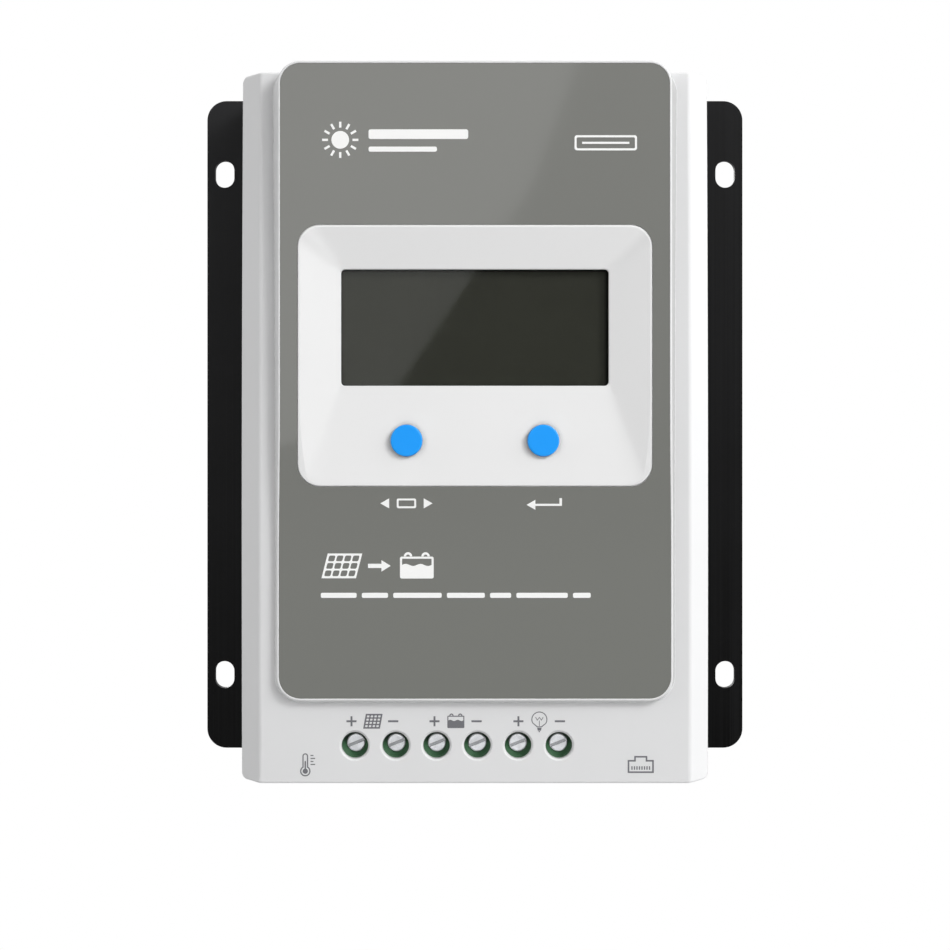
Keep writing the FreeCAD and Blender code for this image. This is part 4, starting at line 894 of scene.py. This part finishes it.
# grey marks in line with the two sockets
sensor_x = middle("sensor_header", "x")
com_x = middle("com_socket_housing", "x")
printed("mark_sensor", moved(thermometer_icon(), sensor_x - 0.3, pole_z - 4.35), **ON_COVER)
printed("mark_socket", moved(socket_icon(), com_x - 0.2, pole_z - 4.5, scale=1.2), **ON_COVER)

# white marks on the overlay
select_x = middle("select_button", "x")
enter_x = middle("enter_button", "x")
label_z = middle("select_button", "z") - 14.9
printed("mark_select", moved(select_icon(), select_x, label_z), **ON_OVERLAY)
printed("mark_enter", moved(enter_icon(), enter_x + 0.2, label_z), **ON_OVERLAY)
printed("mark_sun", sun_and_bars(), **ON_OVERLAY)
printed("mark_plate", name_plate(), **ON_OVERLAY)
printed("mark_flow", flow_diagram(), **ON_OVERLAY)

# ---------------------------------------------------------------------------
# Stage: pale floor and reflector card
# ---------------------------------------------------------------------------
FLOOR_Z = cad_low.z - 0.17
FLOOR_RADIUS = 3.2
FLOOR_SIDES = 96
CARD_Y = -1.54
CARD_LEFT = -1.1
# sloping right edge of the card from top to bottom: x, z
CARD_EDGE = [
    (0.1500, 0.5200), (0.1088, 0.3828), (0.0600, 0.2500), (0.0022, 0.1646),
    (-0.0793, 0.0416), (-0.1530, -0.0650), (-0.2300, -0.1400), (-0.3400, -0.2300),
]


def stage_face(name, points, material):
    """A single flat face on the stage."""
    mesh = bpy.data.meshes.new(name)
    mesh.from_pydata(points, [], [tuple(range(len(points)))])
    mesh.update()
    face = bpy.data.objects.new(name, mesh)
    scene.collection.objects.link(face)
    mesh.materials.append(MATERIALS[material])
    return face


def stage_floor():
    """Pale matt floor that turns into plain white away from the unit."""
    m = new_material("stage_floor")
    distance = m.vector_value("LENGTH", m.scaled(1.0, 1.0, 0.0))
    far = m.remap(distance, span=(0.24, 0.42))
    seen = m.node("ShaderNodeLightPath").outputs["Is Camera Ray"]
    unseen_color, seen_color = (0.62, 0.62, 0.62), (0.74, 0.74, 0.74)
    matt = m.node("ShaderNodeBsdfDiffuse", Color=m.mix(seen, unseen_color, seen_color))
    glow = m.emission(m.remap(seen, span=(0.0, 1.0), to=(0.13, 1.0), smooth=False))
    m.surface(m.mix_shader(far, matt.outputs[0], glow))


def card_glow():
    m = new_material("card_glow")
    m.surface(m.emission(strength=1.3))


stage_floor()
floor_angles = [2 * math.pi * i / FLOOR_SIDES for i in range(FLOOR_SIDES)]
stage_face("floor", [(FLOOR_RADIUS * math.cos(angle), FLOOR_RADIUS * math.sin(angle), FLOOR_Z)
                     for angle in floor_angles], "stage_floor")

# the card shows only in reflections
card_glow()
card_outline = CARD_EDGE + [(CARD_LEFT, CARD_EDGE[-1][1]), (CARD_LEFT, CARD_EDGE[0][1])]
card = stage_face("card", [(x, CARD_Y, z) for x, z in card_outline], "card_glow")
for ray in ("camera", "diffuse", "transmission", "shadow", "volume_scatter"):
    setattr(card, "visible_" + ray, False)


# ---------------------------------------------------------------------------
# Lights
# ---------------------------------------------------------------------------
KEY_DISTANCE = 1.25


def area(name, location, size, power, target=(0, 0, 0)):
    """Square area light aimed at the target and hidden from the camera."""
    data = bpy.data.lights.new(name, "AREA")
    data.shape = "RECTANGLE"
    data.size = size
    data.size_y = size
    data.energy = power
    light = bpy.data.objects.new(name, data)
    scene.collection.objects.link(light)
    light.location = location
    aim = Vector(target) - Vector(location)
    light.rotation_euler = aim.to_track_quat("-Z", "Y").to_euler()
    light.visible_camera = False
    return light


def light_only(light, group_name, names):
    group = bpy.data.collections.new(group_name)
    for name in names:
        group.objects.link(nodes[name])
    light.light_linking.receiver_collection = group


area("key", Vector((0.60, -0.60, 0.50)).normalized() * KEY_DISTANCE, size=0.32, power=5.6)
area("key_wide", Vector((0.45, -0.80, 0.40)).normalized() * KEY_DISTANCE, size=0.6, power=2.5)
# soft light behind the unit, so that the fins and the rear screws read from the back
rear = area("rear", (-0.55, 0.95, 0.45), size=0.5, power=16.0)
light_only(rear, "lit_back",
           ("heat_sink_base", "cover_screws", "transistor_screws", "main_board_screws"))
# small frontal light that only the plated clamp screws receive
glint = area("glint", (0.10, -0.95, 0.06), size=0.30, power=3.0, target=(0, 0, pole_z * MM))
light_only(glint, "lit_screws", TERMINAL_SCREWS)


# ---------------------------------------------------------------------------
# World: white to the camera, with separate light for diffuse and glossy rays
# ---------------------------------------------------------------------------
def build_world():
    world = bpy.data.worlds.new("studio")
    scene.world = world
    world.use_nodes = True
    sky = Shader(world.node_tree, "ShaderNodeOutputWorld", "Generated")

    def background(strength):
        return sky.node("ShaderNodeBackground", Color=(1.0, 1.0, 1.0),
                        Strength=strength).outputs[0]

    x, y, z = sky.separate(sky.coords)
    white = background(1.0)
    # diffuse surfaces: strong from the right, weaker from the left, a little from above
    right = sky.remap(x, span=(0.0, 1.0), to=(0.0, 2.26))
    left = sky.remap(sky.multiply(x, -1.0), span=(0.0, 1.0), to=(0.0, 1.48))
    top = sky.remap(z, span=(0.0, 1.0), to=(0.0, 0.34))
    diffuse = background(sky.add(sky.add(right, left), top))
    # polished surfaces: dim straight in front, bright to the sides
    glossy = background(sky.remap(y, span=(-0.93, -0.45), to=(0.04, 0.70)))
    ray = sky.node("ShaderNodeLightPath").outputs
    lighting = sky.mix_shader(ray["Is Glossy Ray"], diffuse, glossy)
    sky.surface(sky.mix_shader(ray["Is Camera Ray"], lighting, white))


build_world()


# ---------------------------------------------------------------------------
# Camera: level and straight on, the view lowered by shift
# ---------------------------------------------------------------------------
def build_camera():
    data = bpy.data.cameras.new("camera")
    data.sensor_width = 36.0
    data.lens = 69.34
    data.shift_x = 0.0001
    data.shift_y = -0.05326
    data.clip_start = 0.01
    data.clip_end = 20.0
    camera = bpy.data.objects.new("camera", data)
    scene.collection.objects.link(camera)
    camera.location = (0.0, -0.4774, 0.0)
    camera.rotation_euler = (math.radians(90.0), 0.0, 0.0)
    scene.camera = camera


build_camera()
